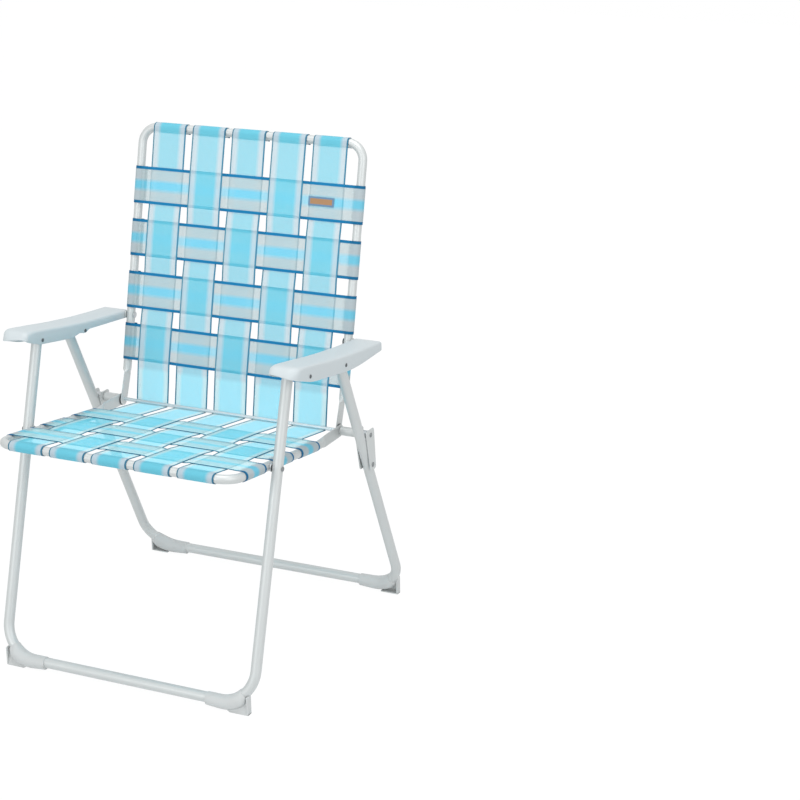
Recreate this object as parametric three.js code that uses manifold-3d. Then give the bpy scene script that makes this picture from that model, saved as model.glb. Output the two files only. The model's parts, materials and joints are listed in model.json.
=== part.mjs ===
// Folding lawn chair with a seat and back of woven straps.
// Millimetres. +Z is up, the front faces -Y, and the origin is on the ground in the middle of the chair.
import * as THREE from 'three';
import { mergeVertices } from 'three/addons/utils/BufferGeometryUtils.js';
import Module from 'manifold-3d';

const wasm = await Module();
wasm.setup();

// Fits
const fitGap = 0.3;                 // between two pieces that meet
const weldGap = 0.0003;             // corners nearer than this are one corner
const cutOverrun = 2;               // how far a cutter passes the faces it cuts

// Leg tubes
const legTubeDiameter = 19;
const legTubeWall = 1;
const legBendRadius = 62;
const legTopBeyondPivot = 10;       // tube left above the armrest bolt
const crossbarHeight = 17;          // crossbar centre above the ground
const footSpreadBeyondRail = 354.3; // front to rear crossbar, less the rail behind the seat's rivet
const frontLegLean = 16.86;         // degrees, top leans back
const rearLegLean = 25.16;          // degrees, top leans forward
const frontLegToArm = 574.7;        // crossbar to armrest bolt, along the leg
const frontLegToSeat = 412.2;       // crossbar to seat rivet, along the leg
const rearLegToArm = 584.5;         // crossbar to armrest bolt, along the leg
const rearLegToLink = 338.1;        // crossbar to link rivet, along the leg
const legNestGap = 11;              // front leg tube to rear leg tube, side by side

// Seat and back tubes
const frameTubeDiameter = 16;
const frameTubeWall = 1;
const frameBendRadius = 32;
const tailBendRadius = 60;          // where a rail turns into its flat tail
const seatPressLength = 24;         // over which the round tube becomes flat
const backPressLength = 12;
const tailHalfWidth = 11.7;
const tailSlit = 0.4;               // left open between the two pressed walls
const seatHalfWidth = 232.8;
const seatTailShift = 1;            // flat tail outward of the rail's centre
const seatSlope = 8.07;             // degrees, down towards the back
const seatRivetShare = 0.547;       // leg rivet between the first two cross straps
const seatRailLength = 321;         // front bar to the start of the tail
const seatTailLength = 85.5;        // start of the tail to the hinge
const seatTailPitch = 0.54;         // degrees, down towards the back
const backInset = 1.3;              // back rails inward of the seat rails
const backTailLength = 61.8;
const backTailRecline = 20.3;       // degrees
const backRecline = 13.24;          // degrees
const backRailLength = 461.5;       // start of the tail to the top bar
const backRivetShare = 0.4816;      // armrest rivet between the last two cross straps

// Hinge between seat and back
const rodDiameter = 7;
const hingeWasherThickness = 1;
const hingeWasherDiameter = 25;
const hingeSpacerDiameter = 16.6;

// Links from the hinge to the rear legs
const linkPlateThickness = 1.9;
const linkTopFront = [18.5, 13.4];  // corners: across the link and beyond its pin
const linkTopRear = [15.7, 9.1];
const linkBottomFront = [9.8, 9.9];
const linkBottomRear = [12.5, 12.6];
const linkCornerRadius = 7;
const linkSpacerDiameter = 15;

// Bolts, rivets and the spacers on them
const boltDiameter = 5;
const boltHeadDiameter = 9;
const boltHeadThickness = 1.6;
const armSpacerDiameter = 10;
const seatWasherThickness = 3.1;
const railWasherDiameter = 15;      // between a leg or armrest and the seat's or back's rail
const backRivetHeadDiameter = 13;
const armBoltHeadDiameter = 7;
const backRivetPlay = 1.15;         // room around the back's armrest rivet as the chair folds

// Armrests; heights are above the line from the front bolt to the back rivet
const armInnerWall = 2.2;
const armOuterWall = 2.6;
const armOuterGap = 0.7;            // rear leg tube to the outer wall
const armTopThickness = 2.6;
const armNoseReach = 57;            // tip of the nose beyond the front bolt
const armNoseLean = 10;             // top of the nose behind its tip
const armTailReach = 7.6;           // rear end beyond the back rivet
const armNoseTop = 20.6;
const armNoseBottom = 6;
const armFrontTop = 18.9;
const armFrontDepth = 8.6;          // lower edge below the front bolt
const armRearTop = 17.5;            // top face above the rear leg's bolt
const armRearDepth = 12;            // lower edge below that bolt
const armLevelLength = 46;          // lower edge behind that bolt, before it rises to the tail
const armTailTop = 7.6;
const armTailDepth = 8.6;
const armInnerDepth = 8.2;          // inner wall's lower edge behind the rear leg's bolt
const armBossDepth = 4.5;           // inner wall below that bolt
const armBossHalf = 12;
const armStepReach = 45;            // ahead of that bolt, where the inner wall starts to rise
const armEdgeRound = 2;
const armNoseInnerRound = 12;       // nose corners, seen from above
const armNoseOuterRound = 27;
const armTailRound = 4;

// Feet
const footWalls = [3.5, 5.3, 6.5, 7.2, 7.2, 1.5]; // outside of the bend, at each step along the sleeve
const footThinWall = 1;             // inside of the bend
const footSleeveLength = 26;        // along the straight crossbar, from the start of the bend
const footWrapAngle = 47;           // degrees, up the bend
const footPlateThickness = 3;
const footPlateInset = 5.5;         // plate's outer face inside the leg tube's centre
const footPlateHeight = 35;
const footPlateHalfDepth = 6.8;
const footWebThickness = 3.2;
const footWebStart = 6;             // beyond the start of the bend
const footSoleStart = 20;           // beyond the start of the bend
const footSoleThickness = 2;
const footSoleHalfDepth = 5.5;
const plateRoundShare = 0.3;        // of the plate's half depth, at its corners

// Straps
const crossStrapWidth = 70;
const strapThickness = 1;
const strapTurnMargin = 1.5;        // flat part of a crossing beyond the strap that it crosses
const strapTail = 10;               // end of a strap, turned in behind the tube that holds it
const longStrapCount = 5;
const longStrapGap = 14.3;
const longStrapInset = 27.9;        // outer strap's edge inward of the back rail's centre
const backCrossCount = 4;
const backCrossStartShare = 0.638;  // of the rail's spare length, above the first cross strap
const backCrossEnd = 16.2;          // last cross strap to the start of the tail
const seatCrossCount = 3;
const seatCrossStartShare = 0.5493; // of the rail's spare length, before the first cross strap
const seatCrossEnd = 12.8;

// Plain tag on the top cross strap
const tagWidth = 52;
const tagHeight = 17;
const tagThickness = 0.5;
const tagInset = 9;                 // towards the middle from the outer long strap's centre
const tagRaise = 0;                 // up from the middle of its cross strap

// Facets
const tubeSides = 12;
const boreSides = 8;
const smallSides = 10;
const bendSteps = 6;
const tailBendSteps = 2;
const wrapSteps = 6;
const rodWrapSteps = 4;
const cornerSteps = 4;
const bevelSteps = 2;
const sleeveSteps = footWalls.length - 2; // up the bend; the first two walls are on the straight tube
const tipShares = [0.6, 0.93];      // steps along the rounded tip of a flat tail
const flatnessShare = 0.6;          // of a flat tail's half width, from the edge, where it rounds off

const legRadius = legTubeDiameter / 2;
const frameRadius = frameTubeDiameter / 2;
const rodRadius = rodDiameter / 2;
const boltRadius = boltDiameter / 2;
const boltHole = boltRadius + fitGap;
const tailThickness = 2 * frameTubeWall + tailSlit;

// Places across the chair, for the right side; the left side is its mirror image
const seatTailX = seatHalfWidth + seatTailShift;
const backTailX = seatTailX - tailThickness - hingeWasherThickness - 2 * fitGap;
const backHalfWidth = seatHalfWidth - backInset;
const longStrapSpread = 2 * (backHalfWidth - longStrapInset);
const longStrapWidth = (longStrapSpread - (longStrapCount - 1) * longStrapGap) / longStrapCount;
const frontLegX = seatHalfWidth + frameRadius + seatWasherThickness + 2 * fitGap + legRadius;
const rearLegX = frontLegX + 2 * legRadius + legNestGap;
const armInsideX = frontLegX - legRadius - fitGap - armInnerWall;
const armChannelX = armInsideX + armInnerWall;
const armOutsideX = rearLegX + legRadius + armOuterGap + armOuterWall;
const linkInnerX = rearLegX - legRadius - fitGap - linkPlateThickness;
const linkOuterX = rearLegX + legRadius + fitGap;

// Places of the cross straps along a rail, as distances of their centres from the bar
function rowPlaces(count, first, pitch) {
  return Array.from({ length: count }, (_, i) => first + i * pitch);
}

function crossPlaces(count, railLength, startShare, end) {
  const gaps = count - 1;
  const washerRoom = railWasherDiameter + 2 * fitGap;
  const spare = railLength - end - count * crossStrapWidth - gaps * washerRoom;
  const start = spare * startShare;
  const gap = washerRoom + (spare - start) / gaps;
  return rowPlaces(count, start + crossStrapWidth / 2, crossStrapWidth + gap);
}

function betweenCrosses(places, row, share) {
  const gap = places[row + 1] - places[row] - crossStrapWidth;
  return places[row] + crossStrapWidth / 2 + share * gap;
}

const backPlaces = crossPlaces(backCrossCount, backRailLength, backCrossStartShare, backCrossEnd);
const seatPlaces = crossPlaces(seatCrossCount, seatRailLength, seatCrossStartShare, seatCrossEnd);
const backBarToRivet = betweenCrosses(backPlaces, backCrossCount - 2, backRivetShare);
const seatBarToRivet = betweenCrosses(seatPlaces, 0, seatRivetShare);

// Places in the side view, as (y, z) pairs
const radians = THREE.MathUtils.degToRad;

function sidePoint(y, z) {
  return new THREE.Vector2(y, z);
}

function sideDirection(degrees) {
  return sidePoint(Math.cos(radians(degrees)), Math.sin(radians(degrees)));
}

function along(start, direction, distance) {
  return start.clone().addScaledVector(direction, distance);
}

function turnLeft(direction) {
  return sidePoint(-direction.y, direction.x);
}

const upright = 90;
const footSpread = seatRailLength - seatBarToRivet + footSpreadBeyondRail;
const frontFoot = sidePoint(-footSpread / 2, crossbarHeight);
const rearFoot = sidePoint(footSpread / 2, crossbarHeight);
const frontLegUp = sideDirection(upright - frontLegLean);
const rearLegUp = sideDirection(upright + rearLegLean);
const armFrontPivot = along(frontFoot, frontLegUp, frontLegToArm);
const seatPivot = along(frontFoot, frontLegUp, frontLegToSeat);
const armRearPivot = along(rearFoot, rearLegUp, rearLegToArm);
const linkPivot = along(rearFoot, rearLegUp, rearLegToLink);
const seatBack = sideDirection(-seatSlope);
const seatBar = along(seatPivot, seatBack, -seatBarToRivet);
const seatTailStart = along(seatBar, seatBack, seatRailLength);
const seatTailBack = sideDirection(-seatTailPitch);
const hinge = along(seatTailStart, seatTailBack, seatTailLength);
const backTailUp = sideDirection(upright - backTailRecline);
const backTailStart = along(hinge, backTailUp, backTailLength);
const backUp = sideDirection(upright - backRecline);
const backBar = along(backTailStart, backUp, backRailLength);
const armBackPivot = along(backBar, backUp, -backBarToRivet);

// Closed solids: join, cut and hand over as geometry
function toSolid(geometry) {
  const bare = geometry.clone();
  bare.deleteAttribute('normal');
  bare.deleteAttribute('uv');
  const merged = mergeVertices(bare, weldGap);
  const corners = merged.index.array;
  const kept = [];
  for (let i = 0; i < corners.length; i += 3) {
    const [a, b, c] = [corners[i], corners[i + 1], corners[i + 2]];
    if (a !== b && b !== c && c !== a) kept.push(a, b, c);
  }
  const mesh = new wasm.Mesh({
    numProp: 3,
    vertProperties: new Float32Array(merged.attributes.position.array),
    triVerts: new Uint32Array(kept),
  });
  return new wasm.Manifold(mesh);
}

function toGeometry(solid) {
  const mesh = solid.getMesh();
  const geometry = new THREE.BufferGeometry();
  geometry.setAttribute('position', new THREE.BufferAttribute(new Float32Array(mesh.vertProperties), 3));
  geometry.setIndex(Array.from(mesh.triVerts));
  return geometry;
}

// A straight and curved centreline that is stepped only where it bends
class BentPath extends THREE.Curve {
  constructor(corners) {
    super();
    this.points = [];
    this.directions = [];
    corners.forEach((corner, i) => {
      const before = corners[i - 1];
      const after = corners[i + 1];
      if (!before || !after || !corner.radius) {
        const inward = before && corner.at.clone().sub(before.at).normalize();
        const outward = after && after.at.clone().sub(corner.at).normalize();
        this.points.push(corner.at.clone());
        this.directions.push((inward ?? outward).clone().add(outward ?? inward).normalize());
        return;
      }
      this.addArc(before.at, corner, after.at);
    });
  }

  addArc(before, corner, after) {
    const inward = corner.at.clone().sub(before).normalize();
    const outward = after.clone().sub(corner.at).normalize();
    const turn = inward.angleTo(outward);
    const reach = corner.radius * Math.tan(turn / 2);
    const start = corner.at.clone().addScaledVector(inward, -reach);
    const side = outward.clone().addScaledVector(inward, -outward.dot(inward)).normalize();
    for (let step = 0; step <= corner.steps; step += 1) {
      const angle = (turn * step) / corner.steps;
      const point = start.clone();
      point.addScaledVector(inward, corner.radius * Math.sin(angle));
      point.addScaledVector(side, corner.radius * (1 - Math.cos(angle)));
      const direction = inward.clone().multiplyScalar(Math.cos(angle));
      this.points.push(point);
      this.directions.push(direction.addScaledVector(side, Math.sin(angle)));
    }
  }

  get steps() {
    return this.points.length - 1;
  }

  getUtoTmapping(u) {
    return u;
  }

  getPoint(t, target = new THREE.Vector3()) {
    const place = t * this.steps;
    const index = Math.min(Math.floor(place), this.steps - 1);
    return target.lerpVectors(this.points[index], this.points[index + 1], place - index);
  }

  getTangent(t, target = new THREE.Vector3()) {
    return target.copy(this.directions[Math.round(t * this.steps)]);
  }
}

function polygon(radius, sides) {
  const points = [];
  for (let i = 0; i < sides; i += 1) {
    const angle = (2 * Math.PI * i) / sides;
    points.push(new THREE.Vector2(radius * Math.cos(angle), radius * Math.sin(angle)));
  }
  return points;
}

function tubeGeometry(path, radius, bore) {
  const section = new THREE.Shape(polygon(radius, tubeSides));
  if (bore > 0) section.holes.push(new THREE.Path(polygon(bore, boreSides).reverse()));
  return new THREE.ExtrudeGeometry(section, { steps: path.steps, extrudePath: path, bevelEnabled: false });
}

// An outline drawn in the side view, extruded across the chair from x = from to x = to
function sideExtrusion(shape, from, to, bevel = 0) {
  const depth = to - from - 2 * bevel;
  const geometry = new THREE.ExtrudeGeometry(shape, {
    depth,
    bevelEnabled: bevel > 0,
    bevelSize: bevel,
    bevelThickness: bevel,
    bevelOffset: -bevel,
    bevelSegments: bevelSteps,
  });
  geometry.translate(0, 0, from + bevel);
  const turn = new THREE.Matrix4().makeBasis(
    new THREE.Vector3(0, 1, 0),
    new THREE.Vector3(0, 0, 1),
    new THREE.Vector3(1, 0, 0),
  );
  return geometry.applyMatrix4(turn);
}

function roundBar(centre, from, to, radius) {
  const circle = new THREE.Shape(polygon(radius, smallSides).map((p) => p.add(centre)));
  return sideExtrusion(circle, from, to);
}

function spacer(centre, from, to, radius, bore) {
  const ring = new THREE.Shape(polygon(radius, smallSides).map((p) => p.add(centre)));
  ring.holes.push(new THREE.Path(polygon(bore, smallSides).reverse().map((p) => p.add(centre))));
  return sideExtrusion(ring, from, to);
}

// A rivet or bolt across the chair, with a head outside each end that has one
function rivet(centre, from, to, { innerHead = boltHeadDiameter, outerHead = boltHeadDiameter } = {}) {
  const crown = boltHeadThickness / 2;
  const profile = [];
  if (innerHead) {
    profile.push([0, from - boltHeadThickness], [innerHead / 2 - crown, from - boltHeadThickness]);
    profile.push([innerHead / 2, from - crown], [innerHead / 2, from], [boltRadius, from]);
  } else {
    profile.push([0, from], [boltRadius, from]);
  }
  if (outerHead) {
    profile.push([boltRadius, to], [outerHead / 2, to], [outerHead / 2, to + crown]);
    profile.push([outerHead / 2 - crown, to + boltHeadThickness], [0, to + boltHeadThickness]);
  } else {
    profile.push([boltRadius, to], [0, to]);
  }
  const points = profile.map(([r, h]) => new THREE.Vector2(r, h));
  const geometry = new THREE.LatheGeometry(points, smallSides);
  geometry.rotateZ(-Math.PI / 2);
  geometry.translate(0, centre.x, centre.y);
  return toGeometry(toSolid(geometry));
}

function crossHole(solid, centre, radius) {
  const reach = armOutsideX + cutOverrun;
  return solid.subtract(toSolid(roundBar(centre, -reach, reach, radius)));
}

function at(x, side) {
  return new THREE.Vector3(x, side.x, side.y);
}

// Leg frames: one tube each, bent twice, standing on its crossbar
function legPath(foot, up, pivotDistance, halfWidth) {
  const top = along(foot, up, pivotDistance + legTopBeyondPivot);
  const bend = { radius: legBendRadius, steps: bendSteps };
  return new BentPath([
    { at: at(-halfWidth, top) },
    { at: at(-halfWidth, foot), ...bend },
    { at: at(halfWidth, foot), ...bend },
    { at: at(halfWidth, top) },
  ]);
}

function legFrame(foot, up, pivotDistance, halfWidth, holes) {
  const path = legPath(foot, up, pivotDistance, halfWidth);
  let solid = toSolid(tubeGeometry(path, legRadius, legRadius - legTubeWall));
  for (const hole of holes) solid = crossHole(solid, hole, boltHole);
  return toGeometry(solid);
}

// Seat and back frames: one tube each, bent twice, with both ends pressed flat around the hinge
function framePath(bar, tailStart, tailAlong, pressLength, halfWidth) {
  const bend = { radius: frameBendRadius, steps: bendSteps };
  const tailBend = { radius: tailBendRadius, steps: tailBendSteps };
  const tail = [along(tailStart, tailAlong, pressLength), hinge];
  for (const share of tipShares) tail.push(along(hinge, tailAlong, share * tailHalfWidth));
  const left = tail.map((p) => ({ at: at(-halfWidth, p) })).reverse();
  const right = tail.map((p) => ({ at: at(halfWidth, p) }));
  return new BentPath([
    ...left,
    { at: at(-halfWidth, tailStart), ...tailBend },
    { at: at(-halfWidth, bar), ...bend },
    { at: at(halfWidth, bar), ...bend },
    { at: at(halfWidth, tailStart), ...tailBend },
    ...right,
  ]);
}

function pressTails(geometry, tailStart, tailAlong, pressLength, halfWidth, tailX) {
  const position = geometry.attributes.position;
  const across = turnLeft(tailAlong);
  const tailLength = hinge.clone().sub(tailStart).dot(tailAlong);
  for (let i = 0; i < position.count; i += 1) {
    const fromStart = sidePoint(position.getY(i), position.getZ(i)).sub(tailStart);
    const down = fromStart.dot(tailAlong);
    if (down < pressLength / 2) continue;
    const offX = Math.abs(position.getX(i)) - halfWidth;
    const offAcross = fromStart.dot(across);
    const reach = Math.hypot(offX, offAcross);
    const wall = reach > frameRadius - frameTubeWall / 2 ? frameTubeWall : 0;
    const beyond = Math.max(0, down - tailLength);
    const halfWidthHere = Math.sqrt(tailHalfWidth ** 2 - beyond ** 2) - frameTubeWall + wall;
    const fullness = THREE.MathUtils.clamp(offX / reach / flatnessShare, -1, 1);
    const newX = Math.sign(position.getX(i)) * (tailX + fullness * (tailSlit / 2 + wall));
    const moved = tailStart.clone().addScaledVector(tailAlong, down);
    moved.addScaledVector(across, (offAcross / reach) * halfWidthHere);
    position.setXYZ(i, newX, moved.x, moved.y);
  }
  return geometry;
}

function strapFrame(bar, [tailStart, tailAlong, pressLength], halfWidth, tailX, pin, pinRadius) {
  const path = framePath(bar, tailStart, tailAlong, pressLength, halfWidth);
  const tube = tubeGeometry(path, frameRadius, frameRadius - frameTubeWall);
  let solid = toSolid(pressTails(tube, tailStart, tailAlong, pressLength, halfWidth, tailX));
  solid = crossHole(solid, hinge, rodRadius + fitGap);
  solid = crossHole(solid, pin, pinRadius);
  return toGeometry(solid);
}

// Links: a plate on each side of the rear leg's tube
function roundedOutline(corners, radius) {
  const shape = new THREE.Shape();
  corners.forEach((corner, i) => {
    const before = corners[(i + corners.length - 1) % corners.length];
    const after = corners[(i + 1) % corners.length];
    const inward = corner.clone().sub(before).normalize();
    const outward = after.clone().sub(corner).normalize();
    const turn = Math.acos(THREE.MathUtils.clamp(inward.dot(outward), -1, 1));
    const reach = (Array.isArray(radius) ? radius[i] : radius) * Math.tan(turn / 2);
    const start = along(corner, inward, -reach);
    const end = along(corner, outward, reach);
    if (i === 0) shape.moveTo(start.x, start.y);
    else shape.lineTo(start.x, start.y);
    shape.quadraticCurveTo(corner.x, corner.y, end.x, end.y);
  });
  shape.closePath();
  return new THREE.Shape(shape.getPoints(cornerSteps));
}

function linkPlate(from) {
  const down = linkPivot.clone().sub(hinge).normalize();
  const rearward = turnLeft(down);
  const corner = (pin, sideways, beyond, [across, past]) => (
    along(along(pin, rearward, sideways * across), down, beyond * past)
  );
  const outline = roundedOutline([
    corner(hinge, -1, -1, linkTopFront),
    corner(linkPivot, -1, 1, linkBottomFront),
    corner(linkPivot, 1, 1, linkBottomRear),
    corner(hinge, 1, -1, linkTopRear),
  ], linkCornerRadius);
  for (const pin of [hinge, linkPivot]) {
    outline.holes.push(new THREE.Path(polygon(boltHole, smallSides).reverse().map((p) => p.add(pin))));
  }
  return sideExtrusion(outline, from, from + linkPlateThickness);
}

// Armrests: a moulded channel, open below, that covers the tops of both legs
const armLine = armBackPivot.clone().sub(armFrontPivot);
const armLength = armLine.length();
const armAlong = armLine.clone().normalize();
const armUp = turnLeft(armAlong);

function armPoint(distance, height) {
  return along(along(armFrontPivot, armAlong, distance), armUp, height);
}

const rearBolt = armRearPivot.clone().sub(armFrontPivot);
const rearDistance = rearBolt.dot(armAlong);
const rearHeight = rearBolt.dot(armUp);

// The top face in the side view, or the top of the hollow under a roof of this thickness
function armTopLine(roof) {
  return [
    armPoint(armLength + armTailReach, armTailTop - roof),
    armPoint(rearDistance, rearHeight + armRearTop - roof),
    armPoint(0, armFrontTop - roof),
    armPoint(armNoseLean - armNoseReach + roof, armNoseTop - roof),
    armPoint(roof - armNoseReach, armNoseBottom - roof),
  ];
}

const armBottomLine = [
  armPoint(0, -armFrontDepth),
  armPoint(rearDistance, rearHeight - armRearDepth),
  armPoint(rearDistance + armLevelLength, rearHeight - armRearDepth),
  armPoint(armLength + armTailReach, -armTailDepth),
];

// What is cut off the inner wall, from where it rises to the tail
function armInnerCut() {
  const start = rearDistance - armStepReach;
  const end = armLength + armTailReach + cutOverrun;
  const outline = new THREE.Shape([
    armPoint(start, rearHeight - armRearDepth),
    armPoint(rearDistance - armBossHalf, rearHeight - armBossDepth),
    armPoint(rearDistance + armBossHalf, rearHeight - armBossDepth),
    armPoint(rearDistance + armBossHalf + armBossDepth, -armInnerDepth),
    armPoint(end, -armInnerDepth),
    armPoint(end, -armLength),
    armPoint(start, -armLength),
  ]);
  return toSolid(sideExtrusion(outline, armInsideX - cutOverrun, armChannelX + cutOverrun));
}

// The armrest seen from above, drawn in by the walls when it outlines the hollow
function armPlan(innerWall, outerWall, endWall) {
  const front = armPoint(endWall - armNoseReach, 0).x;
  const back = armPoint(armLength + armTailReach - endWall, 0).x;
  const inner = armInsideX + innerWall;
  const outer = armOutsideX - outerWall;
  const rounds = [armNoseInnerRound, armNoseOuterRound, armTailRound, armTailRound];
  const corners = [[inner, front], [outer, front], [outer, back], [inner, back]];
  const shape = roundedOutline(
    corners.map(([x, y]) => new THREE.Vector2(x, y)),
    rounds.map((round) => round - endWall),
  );
  const reach = armLength + armNoseReach;
  const geometry = new THREE.ExtrudeGeometry(shape, { depth: 2 * reach, bevelEnabled: false });
  return toSolid(geometry.translate(0, 0, armFrontPivot.y - reach));
}

function armrest() {
  const outline = new THREE.Shape([...armTopLine(0), ...armBottomLine]);
  const block = toSolid(sideExtrusion(outline, armInsideX, armOutsideX, armEdgeRound));
  const roof = armTopLine(armTopThickness);
  const below = roof.map((point) => along(point, armUp, -armLength)).reverse();
  const hollow = toSolid(sideExtrusion(new THREE.Shape([...roof, ...below]), armInsideX, armOutsideX));
  const hollowPlan = armPlan(armInnerWall, armOuterWall, armTopThickness);
  let solid = block.intersect(armPlan(0, 0, 0)).subtract(hollow.intersect(hollowPlan));
  solid = solid.subtract(armInnerCut());
  for (const pin of [armFrontPivot, armRearPivot]) solid = crossHole(solid, pin, boltHole);
  const overInnerWall = roundBar(armBackPivot, armInsideX - cutOverrun, armChannelX + cutOverrun, boltHole);
  return toGeometry(solid.subtract(toSolid(overInnerWall)));
}

// Feet: a sleeve round the bend of the tube, with a web and an end plate that square off the corner
function legPlaneExtrusion(shape, foot, up, thickness) {
  const geometry = new THREE.ExtrudeGeometry(shape, { depth: thickness, bevelEnabled: false });
  geometry.translate(0, 0, -thickness / 2);
  const lift = new THREE.Vector3(0, up.x, up.y);
  const across = new THREE.Vector3(1, 0, 0);
  const turn = new THREE.Matrix4().makeBasis(across, lift, across.clone().cross(lift));
  return geometry.applyMatrix4(turn.setPosition(at(0, foot)));
}

function sleevePath(foot, up, bendStart) {
  const bendAngle = radians(footWrapAngle);
  const bendCentre = along(foot, up, legBendRadius);
  const path = new BentPath([{ at: at(bendStart - footSleeveLength, foot) }, { at: at(bendStart, foot) }]);
  path.directions[1] = path.directions[0].clone();
  for (let step = 1; step <= sleeveSteps; step += 1) {
    const angle = (bendAngle * step) / sleeveSteps;
    const rise = sidePoint(0, 0).addScaledVector(up, Math.sin(angle));
    const lowered = along(bendCentre, up, -legBendRadius * Math.cos(angle));
    path.points.push(at(bendStart + legBendRadius * Math.sin(angle), lowered));
    path.directions.push(at(Math.cos(angle), rise));
  }
  return path;
}

// Each ring of a sleeve, moved out to its wall: thick on the outside of the bend and thin on the inside
function sleeveGeometry(path, up) {
  const geometry = tubeGeometry(path, legRadius, 0);
  const position = geometry.attributes.position;
  const point = new THREE.Vector3();
  for (let i = 0; i < position.count; i += 1) {
    point.fromBufferAttribute(position, i);
    const distances = path.points.map((centre) => centre.distanceTo(point));
    const step = distances.indexOf(Math.min(...distances));
    const lift = new THREE.Vector3(0, up.x, up.y);
    const outward = new THREE.Vector3(path.directions[step].dot(lift), 0, 0);
    outward.addScaledVector(lift, -path.directions[step].x);
    const radial = point.clone().sub(path.points[step]).normalize();
    const share = (1 + radial.dot(outward)) / 2;
    const wall = THREE.MathUtils.lerp(footThinWall, footWalls[step], share);
    point.copy(path.points[step]).addScaledVector(radial, legRadius + fitGap + wall);
    position.setXYZ(i, point.x, point.y, point.z);
  }
  return geometry;
}

function footCap(foot, up, halfWidth, pivotDistance) {
  const bendStart = halfWidth - legBendRadius;
  const plateX = halfWidth - footPlateInset;
  const plateMiddle = plateX - footPlateThickness / 2;
  const toGround = foot.y / up.y;
  const plateTop = (footPlateHeight - foot.y) / up.y;
  const sleeve = toSolid(sleeveGeometry(sleevePath(foot, up, bendStart), up));
  const bore = toSolid(tubeGeometry(legPath(foot, up, pivotDistance, halfWidth), legRadius + fitGap, 0));

  const plateOutline = roundedOutline([
    sidePoint(foot.x + footPlateHalfDepth, 0),
    sidePoint(foot.x + footPlateHalfDepth, footPlateHeight),
    sidePoint(foot.x - footPlateHalfDepth, footPlateHeight),
    sidePoint(foot.x - footPlateHalfDepth, 0),
  ], footPlateHalfDepth * plateRoundShare);
  const plate = toSolid(sideExtrusion(plateOutline, plateX - footPlateThickness, plateX));

  const webTop = Math.acos(1 - plateTop / legBendRadius);
  const webShape = new THREE.Shape();
  webShape.moveTo(bendStart + footWebStart, -legRadius);
  webShape.lineTo(bendStart + footSoleStart, -toGround);
  webShape.lineTo(plateMiddle, -toGround);
  webShape.lineTo(plateMiddle, plateTop);
  webShape.absarc(bendStart, legBendRadius, legBendRadius, webTop - Math.PI / 2, -Math.PI / 2, true);
  const webOutline = new THREE.Shape(webShape.getPoints(sleeveSteps));
  const web = toSolid(legPlaneExtrusion(webOutline, foot, up, footWebThickness));

  const soleOutline = new THREE.Shape([
    sidePoint(foot.x - footSoleHalfDepth, 0),
    sidePoint(foot.x + footSoleHalfDepth, 0),
    sidePoint(foot.x + footSoleHalfDepth, footSoleThickness),
    sidePoint(foot.x - footSoleHalfDepth, footSoleThickness),
  ]);
  const sole = toSolid(sideExtrusion(soleOutline, bendStart + footSoleStart, plateX));

  const ground = new THREE.BoxGeometry(2 * armOutsideX, footSpread, crossbarHeight);
  ground.translate(0, foot.x, -crossbarHeight / 2);
  const cap = sleeve.add(plate).add(web).add(sole);
  return toGeometry(cap.subtract(bore).subtract(toSolid(ground)));
}

// Straps: flat ribbons that pass over and under one another
const strapOff = frameRadius + fitGap + strapThickness / 2;
const rodOff = rodRadius + fitGap + strapThickness / 2;
const weaveRise = (strapThickness + fitGap) / 2;

const longPitch = longStrapWidth + longStrapGap;
const longPlaces = rowPlaces(longStrapCount, (-longPitch * (longStrapCount - 1)) / 2, longPitch);

function crossIsOver(column, row) {
  return (column + row) % 2 === 0;
}

// A strap's centreline where it crosses others, as (distance, height above the tube's centre) pairs
function weave(places, crossedWidth, isOver) {
  const reach = crossedWidth / 2 + strapTurnMargin;
  return places.flatMap((place, i) => {
    const height = isOver(i) ? strapOff + weaveRise : strapOff - weaveRise;
    return [new THREE.Vector2(place - reach, height), new THREE.Vector2(place + reach, height)];
  });
}

// A strap's end round the tube at distance zero, from the tail behind it to the top
function wrap() {
  const points = [new THREE.Vector2(strapTail, -strapOff)];
  for (let step = 0; step <= wrapSteps; step += 1) {
    const angle = -Math.PI / 2 - (Math.PI * step) / wrapSteps;
    points.push(new THREE.Vector2(strapOff * Math.cos(angle), strapOff * Math.sin(angle)));
  }
  return points;
}

function ribbon(centreline) {
  const sides = [[], []];
  centreline.forEach((point, i) => {
    const next = centreline[Math.min(i + 1, centreline.length - 1)];
    const last = centreline[Math.max(i - 1, 0)];
    const forward = next.clone().sub(point);
    const behind = point.clone().sub(last);
    if (i === 0) behind.copy(forward);
    if (i === centreline.length - 1) forward.copy(behind);
    const bisector = forward.normalize().add(behind.normalize());
    const mitre = new THREE.Vector2(-bisector.y, bisector.x).multiplyScalar(strapThickness / bisector.lengthSq());
    sides[0].push(point.clone().add(mitre));
    sides[1].unshift(point.clone().sub(mitre));
  });
  return new THREE.Shape([...sides[0], ...sides[1]]);
}

function crossStrap(bar, barAlong, normal, place, halfWidth, row) {
  const left = wrap().map((p) => new THREE.Vector2(p.x - halfWidth, p.y));
  const right = wrap().map((p) => new THREE.Vector2(halfWidth - p.x, p.y)).reverse();
  const middle = weave(longPlaces, longStrapWidth, (column) => crossIsOver(column, row));
  const outline = ribbon([...left, ...middle, ...right]);
  return acrossFrame(outline, along(bar, barAlong, place), normal, crossStrapWidth);
}

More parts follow.
